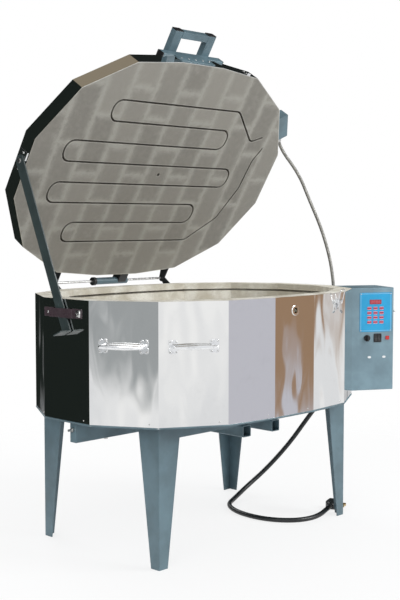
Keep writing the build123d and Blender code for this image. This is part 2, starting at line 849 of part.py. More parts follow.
def prop_arm():
    """Flat bar from the lid down through the guide, with a lip turned out at its foot."""
    start = PLATE + ARM_SIDE_GAP
    bar = block(
        (-start - ARM_THICKNESS, -start),
        (-ARM_WIDTH / 2, ARM_WIDTH / 2),
        (-ARM_LENGTH, 0),
    )
    bar += Pos(-start - ARM_THICKNESS, 0, 0) * (Plane.YZ * rod(ARM_WIDTH, ARM_THICKNESS))
    bar += block(
        (-start - ARM_LIP, -start),
        (-ARM_WIDTH / 2, ARM_WIDTH / 2),
        (-ARM_LENGTH, -ARM_LENGTH + ARM_THICKNESS),
    )
    hole = rod(ARM_PIN + 2 * ARM_RUNNING_FIT, ARM_THICKNESS)
    bar -= Pos(-start - ARM_THICKNESS, 0, 0) * (Plane.YZ * hole)
    pivot = opened_point(on_lid_end(0).origin)
    return Pos(pivot.X, pivot.Y, pivot.Z) * Rot(-ARM_TILT, 0, 0) * bar


def arm_pin():
    """Shouldered rivet that the arm turns on."""
    length = 2 * ARM_SIDE_GAP + ARM_THICKNESS
    head = Pos(0, 0, length) * rod(ARM_PIN_HEAD, PLATE)
    head = fillet(head.edges().group_by(Axis.Z)[-1], PLATE / 2)
    return on_lid_end(PLATE) * (rod(ARM_PIN, length) + head)


def arm_guide():
    """Folded strap on the left end panel that the arm slides through."""
    gap = PLATE + 2 * ARM_SIDE_GAP + ARM_THICKNESS
    near, far = (along_end(y) for y in (GUIDE_TO, GUIDE_FROM))
    low = PLATE / 2
    high = gap + PLATE / 2
    line = Polyline(
        (near - PLATE / 2 - GUIDE_TAB, low),
        (near - PLATE / 2, low),
        (near - PLATE / 2, high),
        (far + PLATE / 2, high),
        (far + PLATE / 2, low),
        (far + PLATE / 2 + GUIDE_TAB, low),
    )
    strap = extrude(trace(line, PLATE), GUIDE_HEIGHT)
    corner = on_panel(END_LEFT, 0, RIM_HEIGHT - GUIDE_DROP - GUIDE_HEIGHT / 2)
    flat = Plane(origin=corner.origin, x_dir=corner.x_dir, z_dir=(0, 0, -1))
    return flat * Pos(0, 0, -GUIDE_HEIGHT / 2) * strap


def build_prop():
    save("prop_arm", prop_arm())
    plate = Pos(0, 0, PLATE / 2) * Box(BRACKET_LENGTH, BRACKET_HEIGHT, PLATE)
    save("arm_bracket", opened(on_lid_end(0) * plate))
    save("arm_pin", opened(arm_pin()))
    save("arm_guide", arm_guide())


# Toggle latch


def on_latch(drop, out=0):
    """Plane on the latch's centre line, a distance below the rim."""
    return on_panel(SIDE_RIGHT, LATCH_ALONG, RIM_HEIGHT - drop, out)


def across(diameter, length):
    """Round bar centred across the latch, along the panel."""
    return Plane.YZ * extrude(Circle(diameter / 2), length / 2, both=True)


def latch_base():
    """Plate on the jacket with two ears and the lever's pin."""
    height = LATCH_BASE_BOTTOM_DROP - LATCH_BASE_TOP_DROP
    middle = LATCH_PIVOT_DROP - (LATCH_BASE_BOTTOM_DROP + LATCH_BASE_TOP_DROP) / 2
    plate = Pos(0, middle, LATCH_SHEET / 2) * Box(LATCH_BASE_WIDTH, height, LATCH_SHEET)
    reach = LATCH_BAIL_THROW - BAIL_WIRE
    side = (LATCH_EAR_GAP + LATCH_SHEET) / 2
    ear = block((-LATCH_SHEET / 2, LATCH_SHEET / 2), (-reach, reach), (0, LATCH_PIVOT_OUT))
    ear += Pos(0, 0, LATCH_PIVOT_OUT) * across(2 * reach, LATCH_SHEET)
    pin = Pos(0, 0, LATCH_PIVOT_OUT) * across(LATCH_PIN, LATCH_EAR_GAP + 2 * LATCH_SHEET + 1)
    base = plate + Pos(side, 0, 0) * ear + Pos(-side, 0, 0) * ear + pin
    return on_latch(LATCH_PIVOT_DROP) * base


def latch_lever():
    """Channel-shaped lever, turned out at its tip, that hangs from the pin."""
    width = LATCH_EAR_GAP - 2 * FIT
    cheek = LATCH_PIN / 2 + LATCH_SHEET
    outer = Polygon(
        (cheek, -cheek),
        (cheek, cheek),
        (-LATCH_LEVER_LENGTH, cheek),
        (-LATCH_LEVER_LENGTH - LATCH_LEVER_TIP, cheek + LATCH_LEVER_TIP / 2),
        (-LATCH_LEVER_LENGTH - LATCH_LEVER_TIP, cheek + LATCH_LEVER_TIP / 2 - LATCH_SHEET),
        (-LATCH_LEVER_LENGTH, cheek - LATCH_SHEET),
        (-LATCH_BAIL_THROW - cheek, -cheek),
        align=None,
    )
    lever = extrude(Plane.YZ * outer, width / 2, both=True)
    inner = width - 2 * LATCH_SHEET
    lever -= block(
        (-inner / 2, inner / 2),
        (-LATCH_LEVER_LENGTH, cheek),
        (-cheek, cheek - LATCH_SHEET),
    )
    lever -= across(LATCH_PIN + 2 * LATCH_RUNNING_FIT, width)
    bail_hole = across(BAIL_WIRE + 2 * LATCH_RUNNING_FIT, width)
    lever -= Pos(0, -LATCH_BAIL_THROW, 0) * bail_hole
    return on_latch(LATCH_PIVOT_DROP, LATCH_PIVOT_OUT) * lever


def latch_bail():
    """Wire loop whose two ends turn in the lever's cheeks; it leans out from the wall."""
    drop = LATCH_PIVOT_DROP + LATCH_BAIL_THROW
    rise = (drop + BAIL_RISE) / cos(radians(BAIL_LEAN))
    end = LATCH_EAR_GAP / 2 - FIT - LATCH_SHEET
    half = BAIL_WIDTH / 2
    path = FilletPolyline(
        (-end, 0), (-half, 0), (-half, rise), (half, rise), (half, 0), (end, 0), radius=BAIL_WIRE
    )
    section = Plane(origin=path @ 0, z_dir=path % 0) * Circle(BAIL_WIRE / 2)
    return on_latch(drop, LATCH_PIVOT_OUT) * Rot(BAIL_LEAN, 0, 0) * sweep(section, path)


def latch_keeper():
    """Plate on the lid band with a hook for the bail at its foot."""
    depth = KEEPER_THROAT + 1.5 * LATCH_SHEET
    line = Polyline(
        (KEEPER_HEIGHT, LATCH_SHEET / 2),
        (LATCH_SHEET / 2, LATCH_SHEET / 2),
        (LATCH_SHEET / 2, depth),
        (KEEPER_LIP, depth),
    )
    strip = extrude(Plane.YZ * trace(line, LATCH_SHEET), KEEPER_WIDTH / 2, both=True)
    foot = on_panel(SIDE_RIGHT, LATCH_ALONG, LID_BASE + KEEPER_FOOT)
    return foot * strip


def build_latch():
    save("latch_base", latch_base())
    save("latch_lever", latch_lever())
    save("latch_bail", latch_bail())
    save("latch_keeper", opened(latch_keeper()))


# Pull handles


def pull_plate():
    """Plate with a lobe for a screw at each corner."""
    width, height = PULL_PLATE_WIDTH, PULL_PLATE_HEIGHT
    plate = RectangleRounded(width, height, width / 4)
    for side in (-1, 1):
        plate -= Pos(side * (width / 2 + 2), 0) * Circle(width / 5)
        plate -= Pos(0, side * (height / 2 + 2)) * Circle(width / 6)
    return extrude(plate, PULL_PLATE_THICKNESS)


def pull_posts():
    """Two short round posts with domed ends, standing on the plates."""
    post = rod(2 * PULL_GRIP_END, PULL_STANDOFF - PULL_PLATE_THICKNESS)
    post += Pos(0, 0, PULL_STANDOFF - PULL_PLATE_THICKNESS) * Sphere(PULL_GRIP_END)
    return [Pos(side * PULL_SPACING / 2, 0, PULL_PLATE_THICKNESS) * post for side in (-1, 1)]


def pull_spindle():
    """Spindle-shaped grip between the two posts."""
    half = PULL_SPACING / 2
    outline = Line((-half, 0), (-half, PULL_GRIP_END))
    outline += ThreePointArc((-half, PULL_GRIP_END), (0, PULL_GRIP_MIDDLE), (half, PULL_GRIP_END))
    outline += Polyline((half, PULL_GRIP_END), (half, 0), (-half, 0))
    spindle = Pos(0, 0, PULL_STANDOFF) * revolve(make_face(outline), Axis.X)
    for post in pull_posts():
        spindle -= post
    return spindle


def build_pull_handles():
    plates = []
    grips = []
    for panel in (CORNER_LEFT, SHOULDER_LEFT, BACK_CORNER_RIGHT, BACK_SHOULDER_RIGHT):
        place = on_panel(panel, PANELS[panel][1] / 2, RIM_HEIGHT - PULL_DROP)
        grips.append(place * pull_spindle())
        grips += [place * post for post in pull_posts()]
        plates += [place * Pos(side * PULL_SPACING / 2, 0) * pull_plate() for side in (-1, 1)]
    save("pull_plates", *plates)
    save("pull_grips", *grips)


# Control box


def on_case_back(out, drop):
    """Plane on the far side of the control box, looking away from the controls."""
    side = on_panel(CORNER_RIGHT, CASE_ALONG + CASE_WIDTH, RIM_HEIGHT - drop, out)
    return Plane(origin=side.origin, x_dir=-side.z_dir, z_dir=side.x_dir)


def cord_drop():
    """Depth of the power cord's gland below the rim."""
    return CASE_HEIGHT - CORD_BOTTOM


def rocker_outs():
    """Distances of the two rockers out from the wall."""
    return [ROCKER_OUT + side * ROCKER_PITCH / 2 for side in (-1, 1)]


def control_case():
    """Folded steel box, open towards the kiln, with holes for what is fitted to it."""
    shell = block((0, CASE_WIDTH), (-CASE_HEIGHT, 0), (0, CASE_DEPTH))
    shell = fillet(shell.edges().filter_by(lambda edge: edge.center().Z > CASE_EDGE), CASE_EDGE)
    sheet = CASE_SHEET
    shell -= block((sheet, CASE_WIDTH - sheet), (-CASE_HEIGHT + sheet, -sheet), (0, CASE_DEPTH - sheet))
    case = on_panel(CORNER_RIGHT, CASE_ALONG, RIM_HEIGHT) * shell
    for out in rocker_outs():
        case -= on_case(out, RIM_HEIGHT - CONTROL_DROP) * rocker_hole()
    shaft = Pos(0, 0, -sheet) * rod(KNOB_SHAFT + 2 * FIT, sheet)
    return case - on_case(KNOB_OUT, RIM_HEIGHT - CONTROL_DROP) * shaft


def rocker_hole():
    """Cut for one rocker through the sheet of the control box."""
    size = (ROCKER_WIDTH + 2 * ROCKER_GAP, ROCKER_HEIGHT + 2 * ROCKER_GAP)
    return Pos(0, 0, -CASE_SHEET / 2) * Box(*size, CASE_SHEET)


def rocker_frame():
    """Black bezel round both rockers."""
    pair = (2 * ROCKER_PITCH + 2 * ROCKER_FRAME_BORDER, ROCKER_HEIGHT + 4 * ROCKER_FRAME_BORDER)
    frame = extrude(RectangleRounded(*pair, ROCKER_FRAME_BORDER), ROCKER_PROUD)
    for side in (-1, 1):
        hole = Box(ROCKER_WIDTH + 2 * ROCKER_GAP, ROCKER_HEIGHT + 2 * ROCKER_GAP, 4 * ROCKER_PROUD)
        frame -= Pos(side * ROCKER_PITCH / 2, 0, 0) * hole
    return on_case(ROCKER_OUT, RIM_HEIGHT - CONTROL_DROP) * frame


def rocker(out):
    """Rocker pressed at its lower end; it turns about the middle of its hole."""
    half = ROCKER_HEIGHT / 2
    profile = Polygon(
        (-half, 1 - ROCKER_DEPTH / 2),
        (half, 1 - ROCKER_DEPTH / 2),
        (half, ROCKER_PROUD + 0.5),
        (0, ROCKER_PROUD - 0.5),
        (-half, ROCKER_PROUD + 0.5),
        align=None,
    )
    body = extrude(Plane.YZ * profile, ROCKER_WIDTH / 2, both=True)
    return on_case(out, RIM_HEIGHT - CONTROL_DROP) * Rot(-ROCKER_TILT, 0, 0) * body


def knob():
    """Round control knob with a flat grip across it, on its shaft."""
    skirt = extrude(Circle(KNOB_DIAMETER / 2), KNOB_HEIGHT / 3)
    grip = Pos(0, 0, KNOB_HEIGHT / 2) * Box(KNOB_DIAMETER / 4, KNOB_DIAMETER - 2, KNOB_HEIGHT)
    body = Pos(0, 0, ROCKER_GAP) * (skirt + grip)
    body += Pos(0, 0, ROCKER_GAP - KNOB_SHAFT_LENGTH) * rod(KNOB_SHAFT, KNOB_SHAFT_LENGTH)
    return on_case(KNOB_OUT, RIM_HEIGHT - CONTROL_DROP) * body


def control_panel():
    """Blue overlay plate on the face of the control box."""
    width = PANEL_TO - PANEL_FROM
    height = PANEL_BOTTOM_DROP - PANEL_TOP_DROP
    middle = (PANEL_FROM + PANEL_TO) / 2
    place = on_case(middle, RIM_HEIGHT - (PANEL_BOTTOM_DROP + PANEL_TOP_DROP) / 2)
    return place * extrude(RectangleRounded(width, height, CASE_EDGE), PANEL_THICKNESS)


def keypad():
    """Grid of low keys on the overlay."""
    key = extrude(RectangleRounded(KEY_WIDTH, KEY_HEIGHT, KEY_HEIGHT / 4), KEY_PROUD)
    top = on_case(DISPLAY_OUT, RIM_HEIGHT - KEY_TOP_DROP)
    keys = []
    for row in range(KEY_ROWS):
        for column in range(KEY_COLUMNS):
            x = (column - (KEY_COLUMNS - 1) / 2) * KEY_COLUMN_PITCH
            keys.append(top * Pos(x, -row * KEY_ROW_PITCH, PANEL_THICKNESS) * key)
    return keys


def build_control_box():
    save("control_case", control_case())
    save("control_panel", control_panel())
    window = extrude(RectangleRounded(DISPLAY_WIDTH, DISPLAY_HEIGHT, CASE_SHEET), DISPLAY_PROUD)
    save("display", on_case(DISPLAY_OUT, RIM_HEIGHT - DISPLAY_DROP) * Pos(0, 0, PANEL_THICKNESS) * window)
    save("keypad", *keypad())
    save("knob", knob())
    save("rocker_frame", rocker_frame())
    for name, out in zip(("rocker_inner", "rocker_outer"), rocker_outs()):
        save(name, rocker(out))
    lamp = extrude(RectangleRounded(PILOT_SIZE, PILOT_SIZE, CASE_SHEET), PILOT_PROUD)
    save("pilot_lamp", on_case(PILOT_OUT, RIM_HEIGHT - CONTROL_DROP) * lamp)
    button = extrude(SlotOverall(BUTTON_WIDTH, BUTTON_HEIGHT), BUTTON_PROUD)
    save("buttons", *(on_case(out, RIM_HEIGHT - BUTTON_DROP) * button for out in BUTTON_OUT))


# Conduit and power cord


def fitting():
    """Conduit connector with a hexagon nut at its foot, along Z."""
    body = rod(FITTING, FITTING_LENGTH) + hexagon(FITTING + NUT_LENGTH, NUT_LENGTH)
    return body - rod(CONDUIT + 2 * FIT, FITTING_LENGTH)


def conduit_lid_place():
    """Plane on the junction box where the conduit leaves it, on the closed lid."""
    side = junction_place(JUNCTION_WIDTH, JUNCTION_DROP + JUNCTION_HEIGHT / 2, JUNCTION_DEPTH / 2)
    return Plane(origin=side.origin, x_dir=-side.z_dir, z_dir=side.x_dir)


def conduit_path():
    """Bowed route from the open lid down to the back of the control box."""
    lid_end = conduit_lid_place()
    case_end = on_case_back(CASE_FITTING_OUT, CASE_FITTING_DROP)
    points = [
        opened_point(lid_end.offset(NUT_LENGTH).origin),
        opened_point(lid_end.offset(FITTING_LENGTH + CONDUIT_LEAD).origin),
        *CONDUIT_POINTS,
        case_end.offset(FITTING_LENGTH + CONDUIT_BEND + CONDUIT_LEAD).origin,
        case_end.offset(NUT_LENGTH).origin,
    ]
    radii = [CONDUIT_LID_BEND, *[CONDUIT_BOW] * len(CONDUIT_POINTS), CONDUIT_BEND]
    return FilletPolyline(*points, radius=radii)


def swept_tube(path, diameter):
    """Round solid along a path."""
    return sweep(Plane(origin=path @ 0, z_dir=path % 0) * Circle(diameter / 2), path)


def cord_points():
    """Route of the power cord: straight out of its gland, then down and along the floor."""
    exit_place = on_case_back(CORD_OUT, CASE_HEIGHT - CORD_BOTTOM)
    straight = [exit_place.offset(GLAND_LENGTH + reach).origin for reach in (0, CORD_LEAD)]
    return straight + [Vector(*point) for point in CORD_POINTS]


def cord_radii(points):
    """Radius at each corner of the route, as large as its two runs allow."""
    radii = []
    for before, corner, after in zip(points, points[1:], points[2:]):
        arriving = corner - before
        leaving = after - corner
        turn = radians(arriving.get_angle(leaving))
        shorter = min(arriving.length, leaving.length)
        radii.append(0.45 * shorter / tan(turn / 2))
    return radii


def gland():
    """Tapered strain relief on a hexagon nut, along Z."""
    taper = Cone(GLAND_DIAMETER / 2, CORD / 2 + PLATE, GLAND_LENGTH)
    body = Pos(0, 0, GLAND_LENGTH / 2) * taper
    return body + hexagon(GLAND_DIAMETER + NUT_LENGTH, NUT_LENGTH)


def plug_place():
    """Plane at the end of the cord, looking on along its last run."""
    before, end = (Vector(*point) for point in CORD_POINTS[-2:])
    heading = (end - before).normalized()
    return Plane(origin=end, x_dir=Vector(0, 0, 1).cross(heading), z_dir=heading)


def plug():
    """Moulded plug body with a tapered neck."""
    neck = loft([Circle(CORD / 2 + PLATE), Pos(0, 0, PLUG_NECK) * plug_section()])
    return neck + Pos(0, 0, PLUG_NECK) * extrude(plug_section(), PLUG_LENGTH - PLUG_NECK)


def plug_section():
    return RectangleRounded(PLUG_WIDTH, PLUG_HEIGHT, PLUG_HEIGHT / 5)


def plug_pins():
    """Two flat blades and a round pin that stand out of the plug's side."""
    start = -PLUG_WIDTH / 2
    pins = []
    for step in (-1, 1):
        middle = (PLUG_NECK + PLUG_LENGTH) / 2 + step * BLADE_SPACING / 2
        pins.append(
            block(
                (start - BLADE_LENGTH, start),
                (-BLADE_WIDTH / 2, BLADE_WIDTH / 2),
                (middle - BLADE_THICKNESS / 2, middle + BLADE_THICKNESS / 2),
            )
        )
    ground = Plane(origin=(start, 0, (PLUG_NECK + PLUG_LENGTH) / 2), z_dir=(-1, 0, 0))
    pins.append(ground * rod(PIN_DIAMETER, BLADE_LENGTH))
    return pins


def build_leads():
    save("conduit", swept_tube(conduit_path(), CONDUIT))
    save("conduit_fitting_lid", opened(conduit_lid_place() * fitting()))
    save("conduit_fitting_case", on_case_back(CASE_FITTING_OUT, CASE_FITTING_DROP) * fitting())
    points = cord_points()
    radii = cord_radii(points)
    print("cord radii", [round(radius) for radius in radii])
    path = FilletPolyline(*points, radius=radii)
    cord = swept_tube(path, CORD)
    print("cord length", round(path.length), "volume ratio", cord.volume / (pi * CORD**2 / 4 * path.length))
    save("power_cord", cord)
    save("cord_gland", on_case_back(CORD_OUT, CASE_HEIGHT - CORD_BOTTOM) * gland())
    save("plug_body", plug_place() * plug())
    save("plug_pins", *(plug_place() * pin for pin in plug_pins()))


os.makedirs("parts", exist_ok=True)
build_stand()
build_body()
build_lid()
build_lid_handle()
build_hinge()
build_prop()
build_latch()
build_pull_handles()
build_control_box()
build_leads()
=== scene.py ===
"""Oval glass kiln with its lid propped open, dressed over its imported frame.

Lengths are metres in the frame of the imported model: the floor is at zero height, the front is
towards -Y and the control box is towards +X.  Every new surface is worked out as whole arrays,
either as a grid of two parameters or as a profile carried along a path.
"""

import logging
import math
from dataclasses import dataclass
from enum import Enum, IntEnum
from typing import Callable, Mapping, Sequence

import bpy
import numpy as np
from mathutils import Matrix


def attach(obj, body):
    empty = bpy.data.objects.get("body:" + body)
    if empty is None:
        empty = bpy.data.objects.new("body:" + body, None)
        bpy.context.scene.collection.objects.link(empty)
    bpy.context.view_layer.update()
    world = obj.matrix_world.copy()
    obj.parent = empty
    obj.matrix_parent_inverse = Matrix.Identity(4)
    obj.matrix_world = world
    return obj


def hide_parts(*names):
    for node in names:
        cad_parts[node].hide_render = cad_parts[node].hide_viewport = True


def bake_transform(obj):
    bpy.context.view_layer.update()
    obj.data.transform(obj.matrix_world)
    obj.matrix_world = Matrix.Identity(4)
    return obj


Array = np.ndarray
Colour = tuple[float, float, float]
LOG = logging.getLogger("kiln")
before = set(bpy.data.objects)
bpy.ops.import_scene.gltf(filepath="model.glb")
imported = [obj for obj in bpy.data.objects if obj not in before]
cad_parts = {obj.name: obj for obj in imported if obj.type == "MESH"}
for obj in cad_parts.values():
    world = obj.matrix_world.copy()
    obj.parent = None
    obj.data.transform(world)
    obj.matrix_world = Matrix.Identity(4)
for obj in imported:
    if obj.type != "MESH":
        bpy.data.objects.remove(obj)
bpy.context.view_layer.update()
UP = np.array([0.0, 0.0, 1.0])


# Places on the kiln


@dataclass(frozen=True)
class Place:
    """A right-handed frame on the kiln: x along the panel, y up it and z out of it."""

    origin: Array
    x: Array
    y: Array
    z: Array

    def carry(self, points: Array) -> Array:
        """Points given in this frame, as points of the kiln: origin plus their share of each axis.

        Args:
            points: Array whose last axis holds x, y and z in this frame.

        Returns:
            Array of the same shape in the kiln's frame.
        """
        return self.origin + points @ np.stack([self.x, self.y, self.z])

    def moved(self, x: float = 0.0, y: float = 0.0, z: float = 0.0) -> "Place":
        """The same frame with its origin moved along its own axes."""
        return Place(self.carry(np.array([x, y, z])), self.x, self.y, self.z)


@dataclass(frozen=True)
class Oval:
    """The sixteen flat panels of the kiln, each as wide as a brick, and its main heights."""

    flat: float = 0.2032
    brick: float = 0.2286
    rim: float = 0.8601
    floor: float = 0.5172
    pan_top: float = 0.460
    lid_base: float = 0.8606
    lid_top: float = 0.9178
    hinge_setback: float = 0.041
    hinge_rise: float = 0.019
    open_angle: float = math.radians(58)
    half_headings: tuple[float, ...] = (0, 6, 30, 60, 90, 120, 150, 174)

    def headings(self) -> Array:
        """Heading of each panel in radians, counted from the front centre to the right."""
        half = np.radians(self.half_headings)
        return np.concatenate([half, half + math.pi])

    def widths(self) -> Array:
        """Width of each panel."""
        half = [self.flat, self.flat, *[self.brick] * 5, self.flat]
        return np.array(half + half)

    def corners(self, inset: float = 0.0) -> Array:
        """Corners of the oval, moved in by an even distance from every panel.

        Each corner moves along the bisector of its two panels by the inset over the cosine of
        half their turn.

        Args:
            inset: Distance inwards from the outer face of the jacket.

        Returns:
            Array of sixteen x, y pairs, where panel number n starts at corner n.
        """
        heading, width = self.headings(), self.widths()
        steps = np.stack([np.cos(heading), np.sin(heading)], axis=1) * width[:, None]
        depth = steps[:8, 1].sum()
        start = np.array([-self.flat / 2, -depth / 2])
        outer = start + np.vstack([[0.0, 0.0], np.cumsum(steps, axis=0)[:-1]])
        before = np.roll(heading, 1)
        before[0] -= 2 * math.pi
        middle = (heading + before) / 2
        reach = inset / np.cos((heading - before) / 2)
        return outer + np.stack([-np.sin(middle), np.cos(middle)], axis=1) * reach[:, None]

    def place(self, panel: int, along: float, height: float, out: float = 0.0) -> Place:
        """Frame on a panel.

        Args:
            panel: Number of the panel, counted from the front centre to the right.
            along: Distance from the panel's first corner.
            height: Height above the floor.
            out: Distance out of the jacket.

        Returns:
            Frame with x along the panel, y up and z outwards.
        """
        heading = self.headings()[panel]
        step = np.array([math.cos(heading), math.sin(heading), 0.0])
        outwards = np.array([math.sin(heading), -math.cos(heading), 0.0])
        corner = np.append(self.corners()[panel], height)
        return Place(corner + step * along + outwards * out, step, UP, outwards)

    def hinge(self) -> tuple[float, float]:
        """Y and Z of the hinge axis, which runs along X."""
        return -self.corners()[0, 1] + self.hinge_setback, self.rim + self.hinge_rise

    def opened(self, points: Array) -> Array:
        """Points of the closed lid, turned about the hinge to where the open lid holds them."""
        y0, z0 = self.hinge()
        cos, sin = math.cos(self.open_angle), math.sin(self.open_angle)
        y, z = points[..., 1] - y0, points[..., 2] - z0
        return np.stack([points[..., 0], y0 + y * cos + z * sin, z0 + z * cos - y * sin], axis=-1)

OVAL = Oval()


class Panel(IntEnum):
    """Panels of the oval that carry something."""

    FRONT = 0
    SIDE_RIGHT = 1
    CORNER_RIGHT = 3
    BACK_CORNER_RIGHT = 5
    BACK_SHOULDER_RIGHT = 6
    SIDE_BACK_RIGHT = 7
    SIDE_BACK_LEFT = 9
    END_LEFT = 12
    CORNER_LEFT = 13
    SHOULDER_LEFT = 14


# Shader maths


def math_method(operation: str, flipped: bool = False) -> Callable[..., "Signal"]:
    """Method of a signal that adds one Math node.

    Args:
        operation: What the node works out.
        flipped: Whether the signal is the node's second value.

    Returns:
        The method.
    """

    def method(self: "Signal", *others: "Signal | float") -> "Signal":
        """Feed the signal, and the other value where there is one, to the node."""
        values = (*others, self) if flipped else (self, *others)
        node = self.recipe.node("ShaderNodeMath", {"operation": operation}, dict(enumerate(values)))
        return Signal(self.recipe, node.outputs[0])

    return method


class Signal:
    """A number that varies over a surface, with the maths that Python writes on it."""

    __add__ = __radd__ = math_method("ADD")
    __sub__ = math_method("SUBTRACT")
    __rsub__ = math_method("SUBTRACT", flipped=True)
    __mul__ = __rmul__ = math_method("MULTIPLY")
    __truediv__ = math_method("DIVIDE")
    floor = math_method("FLOOR")
    fraction = math_method("FRACT")
    size = math_method("ABSOLUTE")
    most = math_method("MAXIMUM")
    wrapped = math_method("FLOORED_MODULO")

    def __init__(self, recipe: "NodeTree", socket: bpy.types.NodeSocket) -> None:
        """Wrap one output socket of a recipe."""
        self.recipe = recipe
        self.socket = socket

    def rise(self, low: float, high: float, start: float = 0.0, end: float = 1.0) -> "Signal":
        """Smooth step: start below low, end above high.

        Args:
            low: Value where the step begins.
            high: Value where the step ends.
            start: Result below the step.
            end: Result above the step.

        Returns:
            The stepped signal.
        """
        settings = {"interpolation_type": "SMOOTHSTEP"}
        links = {"Value": self, "From Min": low, "From Max": high, "To Min": start, "To Max": end}
        return Signal(self.recipe, self.recipe.node("ShaderNodeMapRange", settings, links).outputs[0])


Paintable = Signal | bpy.types.NodeSocket | Sequence[float] | float


class NodeTree:
    """Node tree of a finish or of the surround."""

    def __init__(self, tree: bpy.types.NodeTree, spot: str) -> None:
        """Empty a tree and read one kind of coordinate in it."""
        self.tree = tree
        self.tree.nodes.clear()
        self.spot = self.node("ShaderNodeTexCoord").outputs[spot]

    def node(
        self,
        kind: str,
        settings: Mapping[str, object] | None = None,
        sockets: Mapping[str | int, Paintable] | None = None,
    ) -> bpy.types.Node:
        """Add one node.

        Args:
            kind: Type of the node.
            settings: Its own properties, set before its sockets.
            sockets: A value or a link for each named or numbered input.

        Returns:
            The node.
        """
        node = self.tree.nodes.new(kind)
        for key, value in (settings or {}).items():
            setattr(node, key, value)
        for key, value in (sockets or {}).items():
            self.feed(node.inputs[key], value)
        return node

    def feed(self, socket: bpy.types.NodeSocket, value: Paintable) -> None:
        """Link a socket to a signal or another socket, or set its plain value."""
        if isinstance(value, Signal):
            self.tree.links.new(value.socket, socket)
        elif isinstance(value, bpy.types.NodeSocket):
            self.tree.links.new(value, socket)
        elif isinstance(value, (int, float)):
            socket.default_value = value
        else:
            full = tuple(value)
            wants_alpha = len(socket.default_value) == 4 and len(full) == 3
            socket.default_value = (*full, 1.0) if wants_alpha else full

    def turned(
        self,
        move: Sequence[float] = (0, 0, 0),
        turn: Sequence[float] = (0, 0, 0),
        stretch: Sequence[float] = (1, 1, 1),
    ) -> bpy.types.NodeSocket:
        """The surface's own place, moved to a new origin and turned into its axes.

        Args:
            move: Origin of the pattern in the kiln's frame.
            turn: Turn of the pattern's axes, in radians.
            stretch: Size of the pattern along each of its axes.

        Returns:
            Vector socket.
        """
        links = {"Vector": self.spot, "Location": move, "Rotation": turn, "Scale": stretch}
        return self.node("ShaderNodeMapping", {"vector_type": "TEXTURE"}, links).outputs[0]

    def axes(self, vector: bpy.types.NodeSocket | None = None) -> tuple[Signal, Signal, Signal]:
        """X, Y and Z of a vector as three signals."""
        split = self.node("ShaderNodeSeparateXYZ", None, {0: vector or self.spot})
        return tuple(Signal(self, out) for out in split.outputs)

    def noise(
        self,
        scale: float,
        detail: float = 3.0,
        roughness: float = 0.55,
        vector: bpy.types.NodeSocket | None = None,
    ) -> Signal:
        """Cloudy noise between 0 and 1, with its scale in features per metre."""
        links = {"Vector": vector or self.spot, "Scale": scale, "Detail": detail, "Roughness": roughness}
        return Signal(self, self.node("ShaderNodeTexNoise", None, links).outputs[0])

    def cells(self, scale: float) -> Signal:
        """Distance to the nearest of many scattered points, in parts of their spacing."""
        links = {"Vector": self.spot, "Scale": scale}
        return Signal(self, self.node("ShaderNodeTexVoronoi", None, links).outputs["Distance"])

    def chance(self, *values: Signal) -> Signal:
        """One random number for each set of whole numbers."""
        packed = self.node("ShaderNodeCombineXYZ", None, dict(enumerate(values)))
        dice = self.node("ShaderNodeTexWhiteNoise", {"noise_dimensions": "3D"}, {"Vector": packed.outputs[0]})
        return Signal(self, dice.outputs[0])

    def blend(self, factor: Paintable, first: bpy.types.Node, second: bpy.types.Node) -> bpy.types.Node:
        """Shader that goes from the first node's to the second's with the factor."""
        return self.node("ShaderNodeMixShader", None, {0: factor, 1: first.outputs[0], 2: second.outputs[0]})

    def mix(self, factor: Signal, first: Paintable, second: Paintable) -> bpy.types.NodeSocket:
        """Colour that goes from the first to the second with the factor."""
        return self.node("ShaderNodeMix", {"data_type": "RGBA"}, {0: factor, 6: first, 7: second}).outputs[2]

    def towards(self, direction: Sequence[float]) -> Signal:
        """Cosine of the angle between the coordinate and a direction of length one."""
        settings = {"operation": "DOT_PRODUCT"}
        dot = self.node("ShaderNodeVectorMath", settings, {0: self.spot, 1: direction})
        return Signal(self, dot.outputs["Value"])


